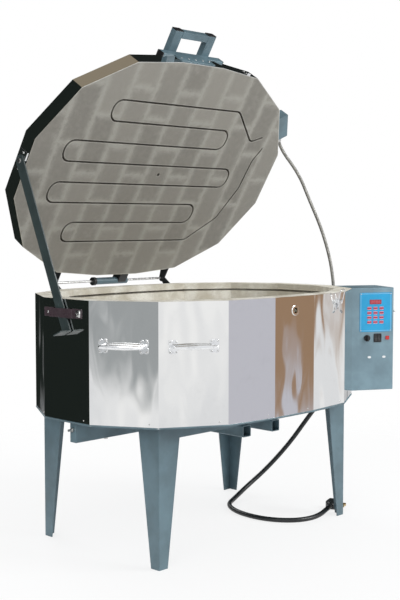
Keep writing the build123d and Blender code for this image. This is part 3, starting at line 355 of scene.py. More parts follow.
class Recipe(NodeTree):
    """Node tree of one finish."""

    def __init__(self, name: str) -> None:
        """Start an empty material with its output and its principled shader."""
        self.material = bpy.data.materials.new(name)
        self.material.use_nodes = True
        super().__init__(self.material.node_tree, "Object")
        self.shader = self.node("ShaderNodeBsdfPrincipled")
        self.output = self.node("ShaderNodeOutputMaterial", None, {0: self.shader.outputs[0]})

    def face_axes(self, along: float, height: float, out: float) -> tuple[Signal, Signal]:
        """Distances from a spot on the face of the control box, away from the kiln and up.

        Args:
            along: Where the face lies along its panel.
            height: Height of the spot.
            out: How far the spot lies out of the jacket.

        Returns:
            The two distances.
        """
        x, y, z = self.axes()
        spot = OVAL.place(Panel.CORNER_RIGHT, along, height, out)
        away = x * float(spot.z[0]) + y * float(spot.z[1]) - float(spot.origin @ spot.z)
        return away, z - height

    def edges(self, radius: float) -> Signal:
        """Wear mask: 1 on sharp outer edges, worked out from how a rounded edge would turn."""
        round_edge = self.node("ShaderNodeBevel", {"samples": 4}, {"Radius": radius}).outputs[0]
        plain = self.node("ShaderNodeNewGeometry").outputs["Normal"]
        dot = self.node("ShaderNodeVectorMath", {"operation": "DOT_PRODUCT"}, {0: round_edge, 1: plain})
        return Signal(self, dot.outputs["Value"]).rise(0.8, 0.97, 1.0, 0.0)

    def finish(
        self,
        height: Signal | None = None,
        depth: float = 0.0003,
        soften: float = 0.0,
        **sockets: Paintable,
    ) -> bpy.types.Material:
        """Set the shader's sockets and its relief.

        Args:
            height: Relief between 0 and 1.
            depth: What a relief of 1 stands for, in metres.
            soften: Radius that sharp edges seem rounded to, or 0.
            **sockets: Value or link for each shader socket, spaces written as underscores.

        Returns:
            The finished material.
        """
        for key, value in sockets.items():
            self.feed(self.shader.inputs[key.replace("_", " ")], value)
        normal = None
        if soften:
            normal = self.node("ShaderNodeBevel", {"samples": 4}, {"Radius": soften}).outputs[0]
        if height is not None:
            links = {"Height": height, "Distance": depth, "Strength": 1.0}
            if normal is not None:
                links["Normal"] = normal
            normal = self.node("ShaderNodeBump", None, links).outputs[0]
        if normal is not None:
            self.feed(self.shader.inputs["Normal"], normal)
        return self.material


# Finishes


def scaled(colour: Colour, factor: float, lift: float = 0.0) -> Colour:
    """Colour made lighter or darker: each channel times a factor plus a lift, at most white."""
    return tuple(min(1.0, channel * factor + lift) for channel in colour)


@dataclass(frozen=True)
class SprayedPaint:
    """Sprayed enamel on sheet steel: fine orange peel, uneven sheen and worn edges."""

    name: str
    colour: Colour
    worn: Colour = (0.30, 0.34, 0.36)
    roughness: float = 0.38
    wear: float = 0.35

    def make(self) -> bpy.types.Material:
        """Build the material."""
        r = Recipe(self.name)
        cloud = r.noise(9, 4)
        light = scaled(self.colour, 1.16)
        base = r.mix(cloud.rise(0.3, 0.7), scaled(self.colour, 0.82), light)
        rub = r.edges(0.0018) * r.noise(60, 4).rise(0.42, 0.62) * self.wear
        dust = r.noise(26, 5).rise(0.55, 0.8) * 0.18
        base = r.mix(dust, r.mix(rub, base, self.worn), light)
        sheen = r.noise(40, 3).rise(0.3, 0.75, self.roughness - 0.06, self.roughness + 0.14)
        return r.finish(
            height=r.noise(650, 2),
            depth=0.00006,
            soften=0.0012,
            Base_Color=base,
            Roughness=sheen,
            Coat_Weight=0.12,
        )


@dataclass(frozen=True)
class MirrorSheet:
    """Mirror-polished stainless sheet that bulges a little between its bends."""

    name: str
    colour: Colour = (0.86, 0.86, 0.85)
    roughness: float = 0.035
    wave: float = 0.022

    def make(self) -> bpy.types.Material:
        """Build the material."""
        r = Recipe(self.name)
        slow = r.noise(2.6, 1.2, 0.4, r.turned(stretch=(1, 1, 1.7)))
        ripple = r.noise(11, 1.0, 0.3, r.turned(stretch=(1, 1, 2.4)))
        smear = r.noise(22, 5, 0.65).rise(0.5, 0.85)
        fine = r.noise(900, 1, 0.5, r.turned(stretch=(1, 1, 26)))
        rough = smear * 0.03 + fine * 0.02 + self.roughness
        return r.finish(
            height=slow * 0.88 + ripple * 0.12,
            depth=self.wave,
            Base_Color=r.mix(smear, self.colour, scaled(self.colour, 0.96)),
            Metallic=1.0,
            Roughness=rough,
        )


@dataclass(frozen=True)
class BareMetal:
    """Plated or bare metal with fine turning marks and a cloudy sheen."""

    name: str
    colour: Colour
    roughness: float = 0.2
    marks: float = 0.00001

    def make(self) -> bpy.types.Material:
        """Build the material."""
        r = Recipe(self.name)
        cloud = r.noise(70, 4)
        sheen = cloud.rise(0.3, 0.75, self.roughness * 0.75, self.roughness * 1.5)
        base = r.mix(cloud.rise(0.45, 0.85), self.colour, scaled(self.colour, 0.72))
        return r.finish(
            height=r.noise(1400, 2),
            depth=self.marks,
            soften=0.0006,
            Base_Color=base,
            Metallic=1.0,
            Roughness=sheen,
        )


@dataclass(frozen=True)
class Oxidised:
    """Resistance wire after many firings: dark, dull oxide with paler spots."""

    name: str
    colour: Colour = (0.075, 0.062, 0.055)

    def make(self) -> bpy.types.Material:
        """Build the material."""
        r = Recipe(self.name)
        spots = r.noise(120, 4).rise(0.5, 0.7)
        base = r.mix(spots, self.colour, scaled(self.colour, 1.9))
        return r.finish(Base_Color=base, Metallic=0.5, Roughness=spots.rise(0, 1, 0.55, 0.75))


@dataclass(frozen=True)
class WallFirebrick:
    """Soft cream insulating firebrick: open pores with painted shade in them, sawn faces and light stains."""

    name: str
    colour: Colour = (0.74, 0.69, 0.57)
    pale: Colour = (0.86, 0.84, 0.76)
    stained: Colour = (0.42, 0.37, 0.30)

    def make(self) -> bpy.types.Material:
        """Build the material."""
        r = Recipe(self.name)
        pores = r.cells(420).rise(0.12, 0.34)
        cloud = r.noise(14, 5)
        base = r.mix(cloud.rise(0.35, 0.7), scaled(self.colour, 0.8), self.pale)
        # Painted shade: the pore hollows of the relief are painted darker.
        base = r.mix(pores, scaled(self.colour, 0.55), base)
        stain = r.noise(5, 3).rise(0.58, 0.75) * 0.3
        return r.finish(
            height=pores * 0.7 + r.noise(260, 4) * 0.3,
            depth=0.0009,
            Base_Color=r.mix(stain, base, self.stained),
            Roughness=0.92,
        )


@dataclass(frozen=True)
class LidFirebrick:
    """Grey, fired brick slab of the lid with its cement joints laid in a half bond.

    The pattern is drawn in the closed lid's own plan: bricks stand with their length across the
    kiln, each column half a brick out of step with its neighbours.
    """

    name: str
    colour: Colour = (0.262, 0.250, 0.222)
    joint: Colour = (0.365, 0.355, 0.318)
    rubbed: Colour = (0.50, 0.49, 0.44)
    width: float = 0.1143
    length: float = 0.2286
    first_column: float = -0.0642
    first_cross: float = 0.122
    line: float = 0.0018

    def make(self) -> bpy.types.Material:
        """Build the material."""
        r = Recipe(self.name)
        y0, z0 = OVAL.hinge()
        plan = r.turned(move=(0, y0, z0), turn=(-OVAL.open_angle, 0, 0))
        across, along, _ = r.axes(plan)
        wander = (r.noise(16, 3) - 0.5) * 0.004
        column_at = (across + wander - self.first_column) / self.width
        column = column_at.floor()
        step = column.wrapped(2) * (self.length / 2)
        course_at = (along + wander - (self.first_cross - y0) + step) / self.length
        course = course_at.floor()
        side = (column_at.fraction() - 0.5).size() * self.width
        end = (course_at.fraction() - 0.5).size() * self.length
        near_side = side - (self.width / 2 - self.line)
        near_end = end - (self.length / 2 - self.line)
        gap = near_side.most(near_end)
        joint = gap.rise(-0.009, 0.0006)
        smear = gap.rise(-0.026, 0.0) * r.noise(30, 5, 0.7).rise(0.3, 0.6)
        drip = r.noise(11, 6, 0.75).rise(0.56, 0.74) * 0.45
        tint = r.chance(column, course)
        warm = scaled(self.colour, 1.14)
        base = r.mix(tint, scaled(self.colour, 0.86), warm)
        base = r.mix(r.noise(55, 5).rise(0.35, 0.75) * 0.4, base, warm)
        base = r.mix(smear * 0.9, base, self.joint)
        base = r.mix(drip, base, self.joint)
        base = r.mix(joint * 0.7, base, self.joint)
        pores = r.cells(460).rise(0.1, 0.3)
        # Painted shade: the pore hollows of the relief are painted darker.
        base = r.mix(pores, scaled(self.colour, 0.6), base)
        base = r.mix(r.edges(0.006) * 0.8, base, self.rubbed)
        relief = pores * 0.4 + r.noise(210, 5) * 0.3 + joint * 0.3
        return r.finish(height=relief, depth=0.0010, Base_Color=base, Roughness=0.93)


@dataclass(frozen=True)
class Moulded:
    """Moulded plastic, rubber or porcelain with a fine grain."""

    name: str
    colour: Colour
    roughness: float = 0.4
    grain: float = 900.0
    relief: float = 0.00004
    coat: float = 0.0

    def make(self) -> bpy.types.Material:
        """Build the material."""
        r = Recipe(self.name)
        cloud = r.noise(45, 4)
        base = r.mix(cloud.rise(0.35, 0.8) * 0.6, self.colour, scaled(self.colour, 1.25, 0.006))
        sheen = cloud.rise(0.3, 0.8, self.roughness - 0.06, self.roughness + 0.12)
        return r.finish(
            height=r.noise(self.grain, 2),
            depth=self.relief,
            soften=0.0005,
            Base_Color=base,
            Roughness=sheen,
            Coat_Weight=self.coat,
        )


@dataclass(frozen=True)
class PrintedKeys:
    """Printed key fields: each key has a pale rim and a dark bar across it."""

    name: str
    colour: Colour = (0.62, 0.10, 0.16)
    bar: Colour = (0.16, 0.02, 0.05)
    edge: Colour = (0.80, 0.55, 0.58)
    rows_from: float = OVAL.rim - 0.078
    pitch: float = 0.0176

    def make(self) -> bpy.types.Material:
        """Build the material."""
        r = Recipe(self.name)
        _, _, height = r.axes()
        row = ((height - self.rows_from) / self.pitch + 0.5).fraction() - 0.5
        rim = row.size().rise(0.20, 0.26)
        bar = (row.size() - 0.06).size().rise(0.02, 0.06, 1.0, 0.0)
        base = r.mix(bar, self.colour, self.bar)
        base = r.mix(rim * 0.75, base, self.edge)
        return r.finish(height=r.noise(800, 2), depth=0.00003, Base_Color=base, Roughness=0.35)


@dataclass(frozen=True)
class WindowDisplay:
    """Dark red filter window over unlit bar segments."""

    name: str
    colour: Colour = (0.30, 0.015, 0.03)
    bar: Colour = (0.62, 0.10, 0.14)
    face_along: float = 0.015
    middle_out: float = 0.101
    drop: float = 0.054
    digit_pitch: float = 0.0105

    def make(self) -> bpy.types.Material:
        """Build the material."""
        r = Recipe(self.name)
        out, row = r.face_axes(self.face_along, OVAL.rim - self.drop, self.middle_out)
        digit = (out / self.digit_pitch).fraction() - 0.5
        upright = (digit.size() - 0.28).size().rise(0.05, 0.09, 1.0, 0.0)
        level = (row.size() - 0.0048).size().rise(0.0006, 0.0011, 1.0, 0.0)
        level = level.most(row.size().rise(0.0006, 0.0011, 1.0, 0.0))
        inside = row.size().rise(0.0048, 0.0054, 1.0, 0.0) * digit.size().rise(0.33, 0.37, 1.0, 0.0)
        mask = upright.most(level) * inside * out.size().rise(0.0205, 0.0212, 1.0, 0.0)
        base = r.mix(mask, self.colour, self.bar)
        return r.finish(Base_Color=base, Roughness=0.12, Coat_Weight=0.5)


@dataclass(frozen=True)
class PrintedOverlay:
    """Glossy blue overlay sheet with a thin pale line round its edge."""

    name: str
    colour: Colour = (0.012, 0.30, 0.56)
    line: Colour = (0.55, 0.72, 0.80)
    face_along: float = 0.015
    middle_out: float = 0.1025
    drop: float = 0.093
    half_width: float = 0.0655
    half_height: float = 0.074
    margin: float = 0.004

    def make(self) -> bpy.types.Material:
        """Build the material."""
        r = Recipe(self.name)
        out, row = r.face_axes(self.face_along, OVAL.rim - self.drop, self.middle_out)
        beside = out.size() - (self.half_width - self.margin)
        beyond = row.size() - (self.half_height - self.margin)
        line = beside.most(beyond).size().rise(0.0004, 0.0009, 1.0, 0.0)
        cloud = r.noise(12, 3)
        base = r.mix(cloud.rise(0.3, 0.7), self.colour, scaled(self.colour, 1.18))
        base = r.mix(line * 0.6, base, self.line)
        relief = r.noise(500, 2)
        return r.finish(height=relief, depth=0.00003, Base_Color=base, Roughness=0.28, Coat_Weight=0.2)


class Finish(Enum):
    """The finishes of this kiln."""

    STAND = SprayedPaint("stand_enamel", (0.112, 0.178, 0.210))
    ARM = SprayedPaint("arm_enamel", (0.038, 0.056, 0.056))
    BOX = SprayedPaint("box_enamel", (0.180, 0.275, 0.325), roughness=0.34, wear=0.2)
    BLACK_STEEL = SprayedPaint("black_enamel", (0.012, 0.013, 0.014), (0.12, 0.12, 0.12), 0.42)
    GUIDE = SprayedPaint("guide_enamel", (0.060, 0.040, 0.048), roughness=0.3)
    JACKET = MirrorSheet("jacket_steel")
    BAND = MirrorSheet("band_steel", wave=0.008)
    CHROME = BareMetal("chrome_plate", (0.86, 0.87, 0.88), 0.13, 0.000002)
    ZINC = BareMetal("zinc_plate", (0.60, 0.60, 0.59), 0.28)
    CONDUIT = BareMetal("conduit_steel", (0.27, 0.265, 0.245), 0.42)
    BRASS = BareMetal("blade_brass", (0.72, 0.56, 0.30), 0.25)
    WIRE = Oxidised("element_wire")
    WALL = WallFirebrick("wall_firebrick")
    LID = LidFirebrick("lid_firebrick")
    PORCELAIN = Moulded("terminal_porcelain", (0.74, 0.71, 0.64), 0.45)
    BLACK = Moulded("black_phenolic", (0.012, 0.012, 0.013), 0.36)
    RUBBER = Moulded("cord_rubber", (0.010, 0.012, 0.013), 0.40, 500.0, 0.0001)
    WHITE = Moulded("white_nylon", (0.78, 0.79, 0.80), 0.3)
    LAMP = Moulded("lamp_lens", (0.50, 0.012, 0.010), 0.16, 700.0, 0.00003, 0.6)
    OVERLAY = PrintedOverlay("overlay_sheet")
    KEYS = PrintedKeys("key_print")
    DISPLAY = WindowDisplay("display_window")


class Workshop:
    """Makes each finish once and hands it out."""

    def __init__(self) -> None:
        """Start with no finish made."""
        self._made: dict[Finish, bpy.types.Material] = {}

    def material(self, finish: Finish) -> bpy.types.Material:
        """The material of a finish, made when it is first asked for."""
        if finish not in self._made:
            self._made[finish] = finish.value.make()
        return self._made[finish]

    def dress(self, finish: Finish, *nodes: str) -> None:
        """Give CAD nodes a finish in place of their plain one."""
        for name in nodes:
            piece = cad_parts[name]
            if not piece.material_slots:
                piece.data.materials.append(self.material(finish))
            for slot in piece.material_slots:
                slot.material = self.material(finish)
            LOG.info("dressed %s in %s", name, finish.name)

    def add(
        self,
        piece: bpy.types.Object,
        finish: Finish,
        body: str,
        slot: str,
        replaces: Sequence[str] = (),
    ) -> None:
        """Finish a new piece and set it on its body.

        Args:
            piece: The new object.
            finish: What it is finished in.
            body: Body that it rides on, or nothing where it crosses two.
            slot: Material slot of the record that it belongs to; not used.
            replaces: CAD nodes that it stands for.
        """
        piece.data.materials.clear()
        piece.data.materials.append(self.material(finish))
        if replaces:
            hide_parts(*replaces)
        if body:
            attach(piece, body)
        LOG.info("made %s", piece.name)

    def fasten(self, name: str, body: str, heads: Sequence["Shell"], opened: bool = False) -> None:
        """Join the heads of one group of screws and set them on their body.

        Args:
            name: Name of the piece.
            body: Body that it rides on.
            heads: The heads.
            opened: Whether they are given on the closed lid and still have to open with it.
        """
        shell = Shell.joined(heads)
        if opened:
            shell = Shell(OVAL.opened(shell.points), shell.faces)
        self.add(shell.object(name), Finish.ZINC, body, "zinc")


# Meshes

STEPS_PER_TURN = 9
STEPS_PER_ARC = 13


def unit(vectors: Array) -> Array:
    """One vector or an array of them, brought to length one."""
    return vectors / np.linalg.norm(vectors, axis=-1, keepdims=True)


def round_angles(sides: int) -> Array:
    """Even angles round a circle."""
    return np.linspace(0, 2 * math.pi, sides, endpoint=False)


def at_height(flat: Array, height: float) -> Array:
    """Points of a plan, all set at one height."""
    return np.hstack([flat, np.full((len(flat), 1), height)])


def distance_along(line: Array) -> Array:
    """Distance of each point of a line from its first, measured along the line."""
    return np.concatenate([[0], np.cumsum(np.linalg.norm(np.diff(line, axis=0), axis=1))])


def even_steps(line: Array, step: float) -> tuple[Array, Array]:
    """Points at even distances along a line.

    Args:
        line: Array of points.
        step: Distance between the points of the result.

    Returns:
        The points, and the distance of each along the line.
    """
    run = distance_along(line)
    at = np.linspace(0, run[-1], max(2, int(run[-1] / step)))
    return np.stack([np.interp(at, run, values) for values in line.T], axis=1), at


@dataclass(frozen=True)
class Shell:
    """Points and four-sided faces of one surface."""

    points: Array
    faces: Array

    @staticmethod
    def joined(shells: Sequence["Shell"]) -> "Shell":
        """Several surfaces as one, each one's face numbers moved past those before it."""
        starts = np.cumsum([0] + [len(shell.points) for shell in shells[:-1]])
        points = np.concatenate([shell.points for shell in shells])
        return Shell(points, np.concatenate([s.faces + start for s, start in zip(shells, starts)]))

    def object(self, name: str, smooth: bool = True) -> bpy.types.Object:
        """Make a mesh object of this surface."""
        mesh = bpy.data.meshes.new(name)
        mesh.from_pydata(self.points.tolist(), [], self.faces.tolist())
        mesh.validate()
        mesh.polygons.foreach_set("use_smooth", np.full(len(mesh.polygons), smooth))
        mesh.update()
        piece = bpy.data.objects.new(name, mesh)
        bpy.context.scene.collection.objects.link(piece)
        return piece


def grid_shell(grid: Array, ring: bool = True, loop: bool = False) -> Shell:
    """Surface over a grid of points: each face joins four neighbours.

    Args:
        grid: Array of rows by columns by three.  Rows run along the piece and columns round it.
        ring: Whether the last column joins the first.
        loop: Whether the last row joins the first.

    Returns:
        The surface, facing outwards where columns turn left about the direction of the rows.
    """
    rows, columns = grid.shape[:2]
    index = np.arange(rows * columns).reshape(rows, columns)
    if ring:
        index = np.hstack([index, index[:, :1]])
    if loop:
        index = np.vstack([index, index[:1]])
    faces = np.stack([index[:-1, :-1], index[:-1, 1:], index[1:, 1:], index[1:, :-1]], axis=-1)
    return Shell(grid.reshape(-1, 3), faces.reshape(-1, 4))


def frames_along(path: Array, closed: bool = False) -> tuple[Array, Array]:
    """Two cross directions at every point of a path that nowhere runs straight up for long.

    The first is the path's direction crossed with a fixed lead, the second completes the frame.

    Args:
        path: Array of points.
        closed: Whether the path ends where it starts.

    Returns:
        Two arrays of unit vectors.
    """
    if closed:
        ahead = unit(np.roll(path, -1, axis=0) - np.roll(path, 1, axis=0))
    else:
        ahead = unit(np.gradient(path, axis=0))
    spread = path.max(axis=0) - path.min(axis=0)
    lead = np.eye(3)[int(np.argmin(spread))]
    side = unit(np.cross(ahead, lead))
    return side, np.cross(side, ahead)


def carried_tube(path: Array, radius: Array | float, sides: int, closed: bool = False) -> Shell:
    """Round profile carried along a path: centre plus radius times the turning cross direction.

    Args:
        path: Array of centre points.
        radius: One radius, or one for each point.
        sides: Number of sides of the profile.
        closed: Whether the path ends where it starts.

    Returns:
        The surface, with its ends drawn to a point where it is open.
    """
    side, rise = frames_along(path, closed)
    angle = round_angles(sides)
    spokes = np.cos(angle)[None, :, None] * side[:, None] + np.sin(angle)[None, :, None] * rise[:, None]
    reach = np.broadcast_to(np.asarray(radius, float), (len(path),))
    grid = path[:, None] + spokes * reach[:, None, None]
    if not closed:
        first, last = (np.repeat(path[end][None, None], sides, axis=1) for end in (0, -1))
        grid = np.concatenate([first, grid, last])
    return grid_shell(grid, loop=closed)


def turned_shell(profile: Array, place: Place, sides: int) -> Shell:
    """Profile of radius and height, turned about the outward axis of a place."""
    angle = round_angles(sides)
    x = profile[:, 0, None] * np.cos(angle)
    y = profile[:, 0, None] * np.sin(angle)
    z = np.broadcast_to(profile[:, 1, None], x.shape)
    return grid_shell(place.carry(np.stack([x, y, z], axis=-1)))


def screw_shell(place: Place, radius: float, slotted: bool = True) -> Shell:
    """Domed screw head: height falls with the square of the radius, less a cross-shaped recess.

    Args:
        place: Frame on the surface under the head.
        radius: Radius of the head.
        slotted: Whether it has the recess of a screw or the plain dome of a rivet.

    Returns:
        The surface of the head.
    """
    part = np.array([0.0, 0.12, 0.24, 0.36, 0.5, 0.62, 0.78, 0.92, 1.0, 1.0])[:, None]
    angle = round_angles(24)[None, :]
    x, y = part * np.cos(angle), part * np.sin(angle)
    height = 0.62 * np.sqrt(np.clip(1.08 - part**2, 0, None)) * np.ones_like(angle)
    height[-1] = 0.0
    if slotted:
        arm = (np.minimum(abs(x), abs(y)) < 0.13) & (part < 0.6)
        height = height - 0.3 * arm
    grid = np.stack([x, y, height], axis=-1) * radius
    return grid_shell(place.carry(grid))


def plate_shell(place: Place, half_width: float, half_height: float, thickness: float) -> Shell:
    """Flat plate that lies on a surface: its edge rises from the surface and closes at its middle.

    Args:
        place: Frame on the surface, at the middle of the plate.
        half_width: Half its width along the frame's x.
        half_height: Half its height along the frame's y.
        thickness: How far it stands out.

    Returns:
        The surface of the plate.
    """
    edge = np.array([(-1, -1), (1, -1), (1, 1), (-1, 1)]) * (half_width, half_height)
    levels = [(1.0, 0.0), (1.0, thickness), (0.0, thickness)]
    grid = np.stack([np.hstack([edge * size, np.full((4, 1), level)]) for size, level in levels])
    return grid_shell(place.carry(grid))


def heads_on(
    panel: int, spots: Sequence[tuple[float, float]], out: float, radius: float, slotted: bool = True
) -> list[Shell]:
    """Screw or rivet heads on one panel.

    Args:
        panel: Number of the panel.
        spots: Distance along the panel and height of each head.
        out: How far the surface under them lies out of the jacket.
        radius: Radius of each head.
        slotted: Whether they are screws.

    Returns:
        One surface for each head.
    """
    return [screw_shell(OVAL.place(panel, along, height, out), radius, slotted) for along, height in spots]


def rounded_route(corners: Array, radius: float | Array, step: float, closed: bool = False) -> Array:
    """Flat route through corners that are rounded by tangent arcs, in even steps.

    Each corner is replaced by points of the arc that touches both its runs.

    Args:
        corners: Array of points.
        radius: Radius of the arcs, one or one for each inner corner.
        step: Distance between the points of the result.
        closed: Whether the route returns to its first corner.

    Returns:
        Array of points along the route.
    """
    if closed:
        middle = (corners[-1] + corners[0]) / 2
        corners = np.vstack([middle, corners, middle])
    radii = np.broadcast_to(np.asarray(radius, float), (len(corners) - 2,))
    pieces = [corners[:1]]
    for before, corner, after, reach in zip(corners, corners[1:], corners[2:], radii):
        back, on = unit(before - corner), unit(after - corner)
        half = math.acos(float(np.clip(back @ on, -1, 1))) / 2
        if abs(half - math.pi / 2) < 1e-3:
            continue
        bisector = unit(back + on)
        centre = corner + bisector * reach / math.sin(half)
        sweep = np.linspace(half - math.pi / 2, math.pi / 2 - half, STEPS_PER_ARC)[:, None]
        across = unit(on - back)
        pieces.append(centre + reach * (np.sin(sweep) * across - np.cos(sweep) * bisector))
    pieces.append(corners[-1:])
    return even_steps(np.vstack(pieces), step)[0]


def coil_shell(route: Array, radius: float, wire: float, turns_per_metre: float) -> Shell:
    """Close-wound coil of wire along a level route.

    The wire's centre is the route plus the coil's radius times a direction that turns from the
    route's side to straight up, and the wire itself is a small circle carried along that.

    Args:
        route: Level route in fine even steps.
        radius: Radius of the coil at the wire's centre.
        wire: Radius of the wire.
        turns_per_metre: Turns of the coil in a metre of route.

    Returns:
        Surface of the wire.
    """
    side = np.cross(UP, unit(np.gradient(route, axis=0)))
    turn = (2 * math.pi * turns_per_metre * distance_along(route))[:, None]
    spoke = np.cos(turn) * side + np.sin(turn) * UP
    centre = route + radius * spoke
    cross = np.cross(unit(np.gradient(centre, axis=0)), spoke)
    angle = round_angles(5)[None, :, None]
    ring = np.cos(angle) * spoke[:, None] + np.sin(angle) * cross[:, None]
    return grid_shell(centre[:, None] + wire * ring)


def spline_object(name: str, points: Array) -> bpy.types.Object:
    """Curve of one smooth spline with the given control points, straight at both ends."""
    curve = bpy.data.curves.new(name, "CURVE")
    curve.dimensions = "3D"
    spline = curve.splines.new("NURBS")
    spline.points.add(len(points) - 1)
    full = np.hstack([points, np.ones((len(points), 1))])
    spline.points.foreach_set("co", full.ravel())
    spline.order_u = 3
    spline.use_endpoint_u = True
    spline.resolution_u = 12
    piece = bpy.data.objects.new(name, curve)
    bpy.context.scene.collection.objects.link(piece)
    return piece


def spline_line(piece: bpy.types.Object) -> Array:
    """Points along a spline object's own line."""
    mesh = bpy.data.meshes.new_from_object(piece)
    line = np.empty(len(mesh.vertices) * 3)
    mesh.vertices.foreach_get("co", line)
    bpy.data.meshes.remove(mesh)
    return line.reshape(-1, 3)


# Studio


@dataclass(frozen=True)
class RoomPatch:
    """Part of the room that polished metal shows: where it lies, how far it reaches, its colour."""

    towards: tuple[float, float, float]
    low: float
    high: float
    colour: Colour


class Patch(Enum):
    """The room round the kiln, from the widest part to the narrowest."""

    DARK_DOORWAY = RoomPatch((-0.400, 0.882, 0.250), 0.50, 0.62, (0.012, 0.016, 0.014))
    DARK_LOFT = RoomPatch((0.719, 0.399, 0.569), 0.66, 0.78, (0.014, 0.017, 0.016))
    CEILING = RoomPatch((0.0, 0.0, 1.0), 0.90, 0.97, (0.27, 0.23, 0.17))
    PALE_WALL = RoomPatch((0.588, -0.809, 0.0), 0.92, 0.975, (0.56, 0.56, 0.62))
    GREY_SHEET = RoomPatch((-0.988, -0.156, 0.0), 0.985, 0.998, (0.36, 0.38, 0.39))
    TAN_WALL = RoomPatch((0.845, -0.528, 0.087), 0.962, 0.984, (0.34, 0.22, 0.14))


@dataclass
class Studio:
    """Camera at the photograph's place, pale floor, soft lamps and a white surround."""

    camera_at: tuple[float, float, float] = (-2.8583, -2.7937, 1.1042)
    tilt: float = math.pi / 2 - 0.0695
    heading: float = -0.7974
    focal: float = 66.346
    surround: float = 0.62
    wall: Colour = (1.0, 1.0, 1.0)
    wall_streak: Colour = (0.80, 0.81, 0.83)
    raggedness: float = 7.0
    floor_glow: float = 0.8
    floor_rings: tuple[float, ...] = (0.0, 1.0, 2.0, 3.2)
    look_at: tuple[float, float, float] = (0.0, 0.0, 0.9)

    def build(self) -> None:
        """Build everything that isn't the object."""
        self._camera()
        self._world()
        self._floor()
        self._lamp("lamp_front", (2.6, -4.4, 3.4), 2.6, 190)
        self._lamp("lamp_left", (-4.6, -2.2, 3.2), 2.8, 70)
        self._lamp("lamp_back", (1.0, 4.4, 3.6), 3.0, 90)
        bpy.context.scene.view_settings.view_transform = "Standard"
        LOG.info("studio built")

    def _camera(self) -> None:
        """Camera fitted to the photograph."""
        lens = bpy.data.cameras.new("camera")
        lens.sensor_fit = "VERTICAL"
        lens.sensor_height = 36.0
        lens.lens = self.focal
        lens.clip_end = 60.0
        camera = bpy.data.objects.new("camera", lens)
        camera.location = self.camera_at
        camera.rotation_euler = (self.tilt, 0.0, self.heading)
        bpy.context.scene.collection.objects.link(camera)
        bpy.context.scene.camera = camera

    def _world(self) -> None:
        """White to the camera and to glass, a plain room to polished metal, soft light to the rest."""
        world = bpy.data.worlds.new("surround")
        world.use_nodes = True
        n = NodeTree(world.node_tree, "Generated")
        streak = n.noise(5.0, 4, 0.6, n.turned(stretch=(1, 1, 2.6))) - 0.5
        room = n.mix(streak.rise(-0.1, 0.16), self.wall_streak, self.wall)
        for item in (patch.value for patch in Patch):
            near = n.towards(item.towards) + streak * (item.high - item.low) * self.raggedness
            room = n.mix(near.rise(item.low, item.high), room, item.colour)
        path = n.node("ShaderNodeLightPath").outputs
        soft = n.node("ShaderNodeBackground", None, {0: (0.97, 0.985, 1.0), 1: self.surround})
        mirrored = n.node("ShaderNodeBackground", None, {0: room, 1: 1.0})
        white = n.node("ShaderNodeBackground", None, {0: self.wall, 1: 1.0})
        seen = Signal(n, path["Is Camera Ray"]).most(Signal(n, path["Is Transmission Ray"]))
        light = n.blend(seen, n.blend(path["Is Glossy Ray"], soft, mirrored), white)
        n.node("ShaderNodeOutputWorld", None, {"Surface": light.outputs[0]})
        bpy.context.scene.world = world

    def _floor(self) -> None:
        """Round floor that keeps the shadow and fades into the surround."""
        angle = round_angles(96)
        reach = np.array(self.floor_rings)[:, None]
        flat = np.stack([reach * np.cos(angle), reach * np.sin(angle), reach * 0 * angle], axis=-1)
        floor = grid_shell(flat).object("studio_floor", smooth=False)
        r = Recipe("floor_paper")
        x, y, _ = r.axes()
        far = (x * x + y * y).rise(1.6, 7.5)
        cloud = r.noise(1.3, 3)
        base = r.mix(cloud, (0.86, 0.86, 0.86), (0.90, 0.90, 0.90))
        r.finish(Base_Color=base, Roughness=0.9)
        glow = r.node("ShaderNodeEmission", None, {"Color": (1, 1, 1, 1), "Strength": 1.0})
        path = r.node("ShaderNodeLightPath")
        seen = Signal(r, path.outputs["Is Camera Ray"]).most(Signal(r, path.outputs["Is Glossy Ray"]))
        lit = r.blend(seen * self.floor_glow, r.shader, glow)
        shade = r.blend(far, lit, r.node("ShaderNodeBsdfTransparent"))
        r.feed(r.output.inputs[0], shade.outputs[0])
        floor.data.materials.append(r.material)

    def _lamp(self, name: str, at: tuple[float, float, float], size: float, power: float) -> None:
        """Square soft lamp that looks at the middle of the kiln."""
        lamp = bpy.data.lights.new(name, "AREA")
        lamp.size = size
        lamp.energy = power
        piece = bpy.data.objects.new(name, lamp)
        away = np.array(at) - np.array(self.look_at)
        flat = math.hypot(away[0], away[1])
        piece.location = at
        piece.rotation_euler = (math.atan2(flat, away[2]), 0.0, math.atan2(away[0], -away[1]))
        piece.visible_camera = False
        bpy.context.scene.collection.objects.link(piece)


# Leads


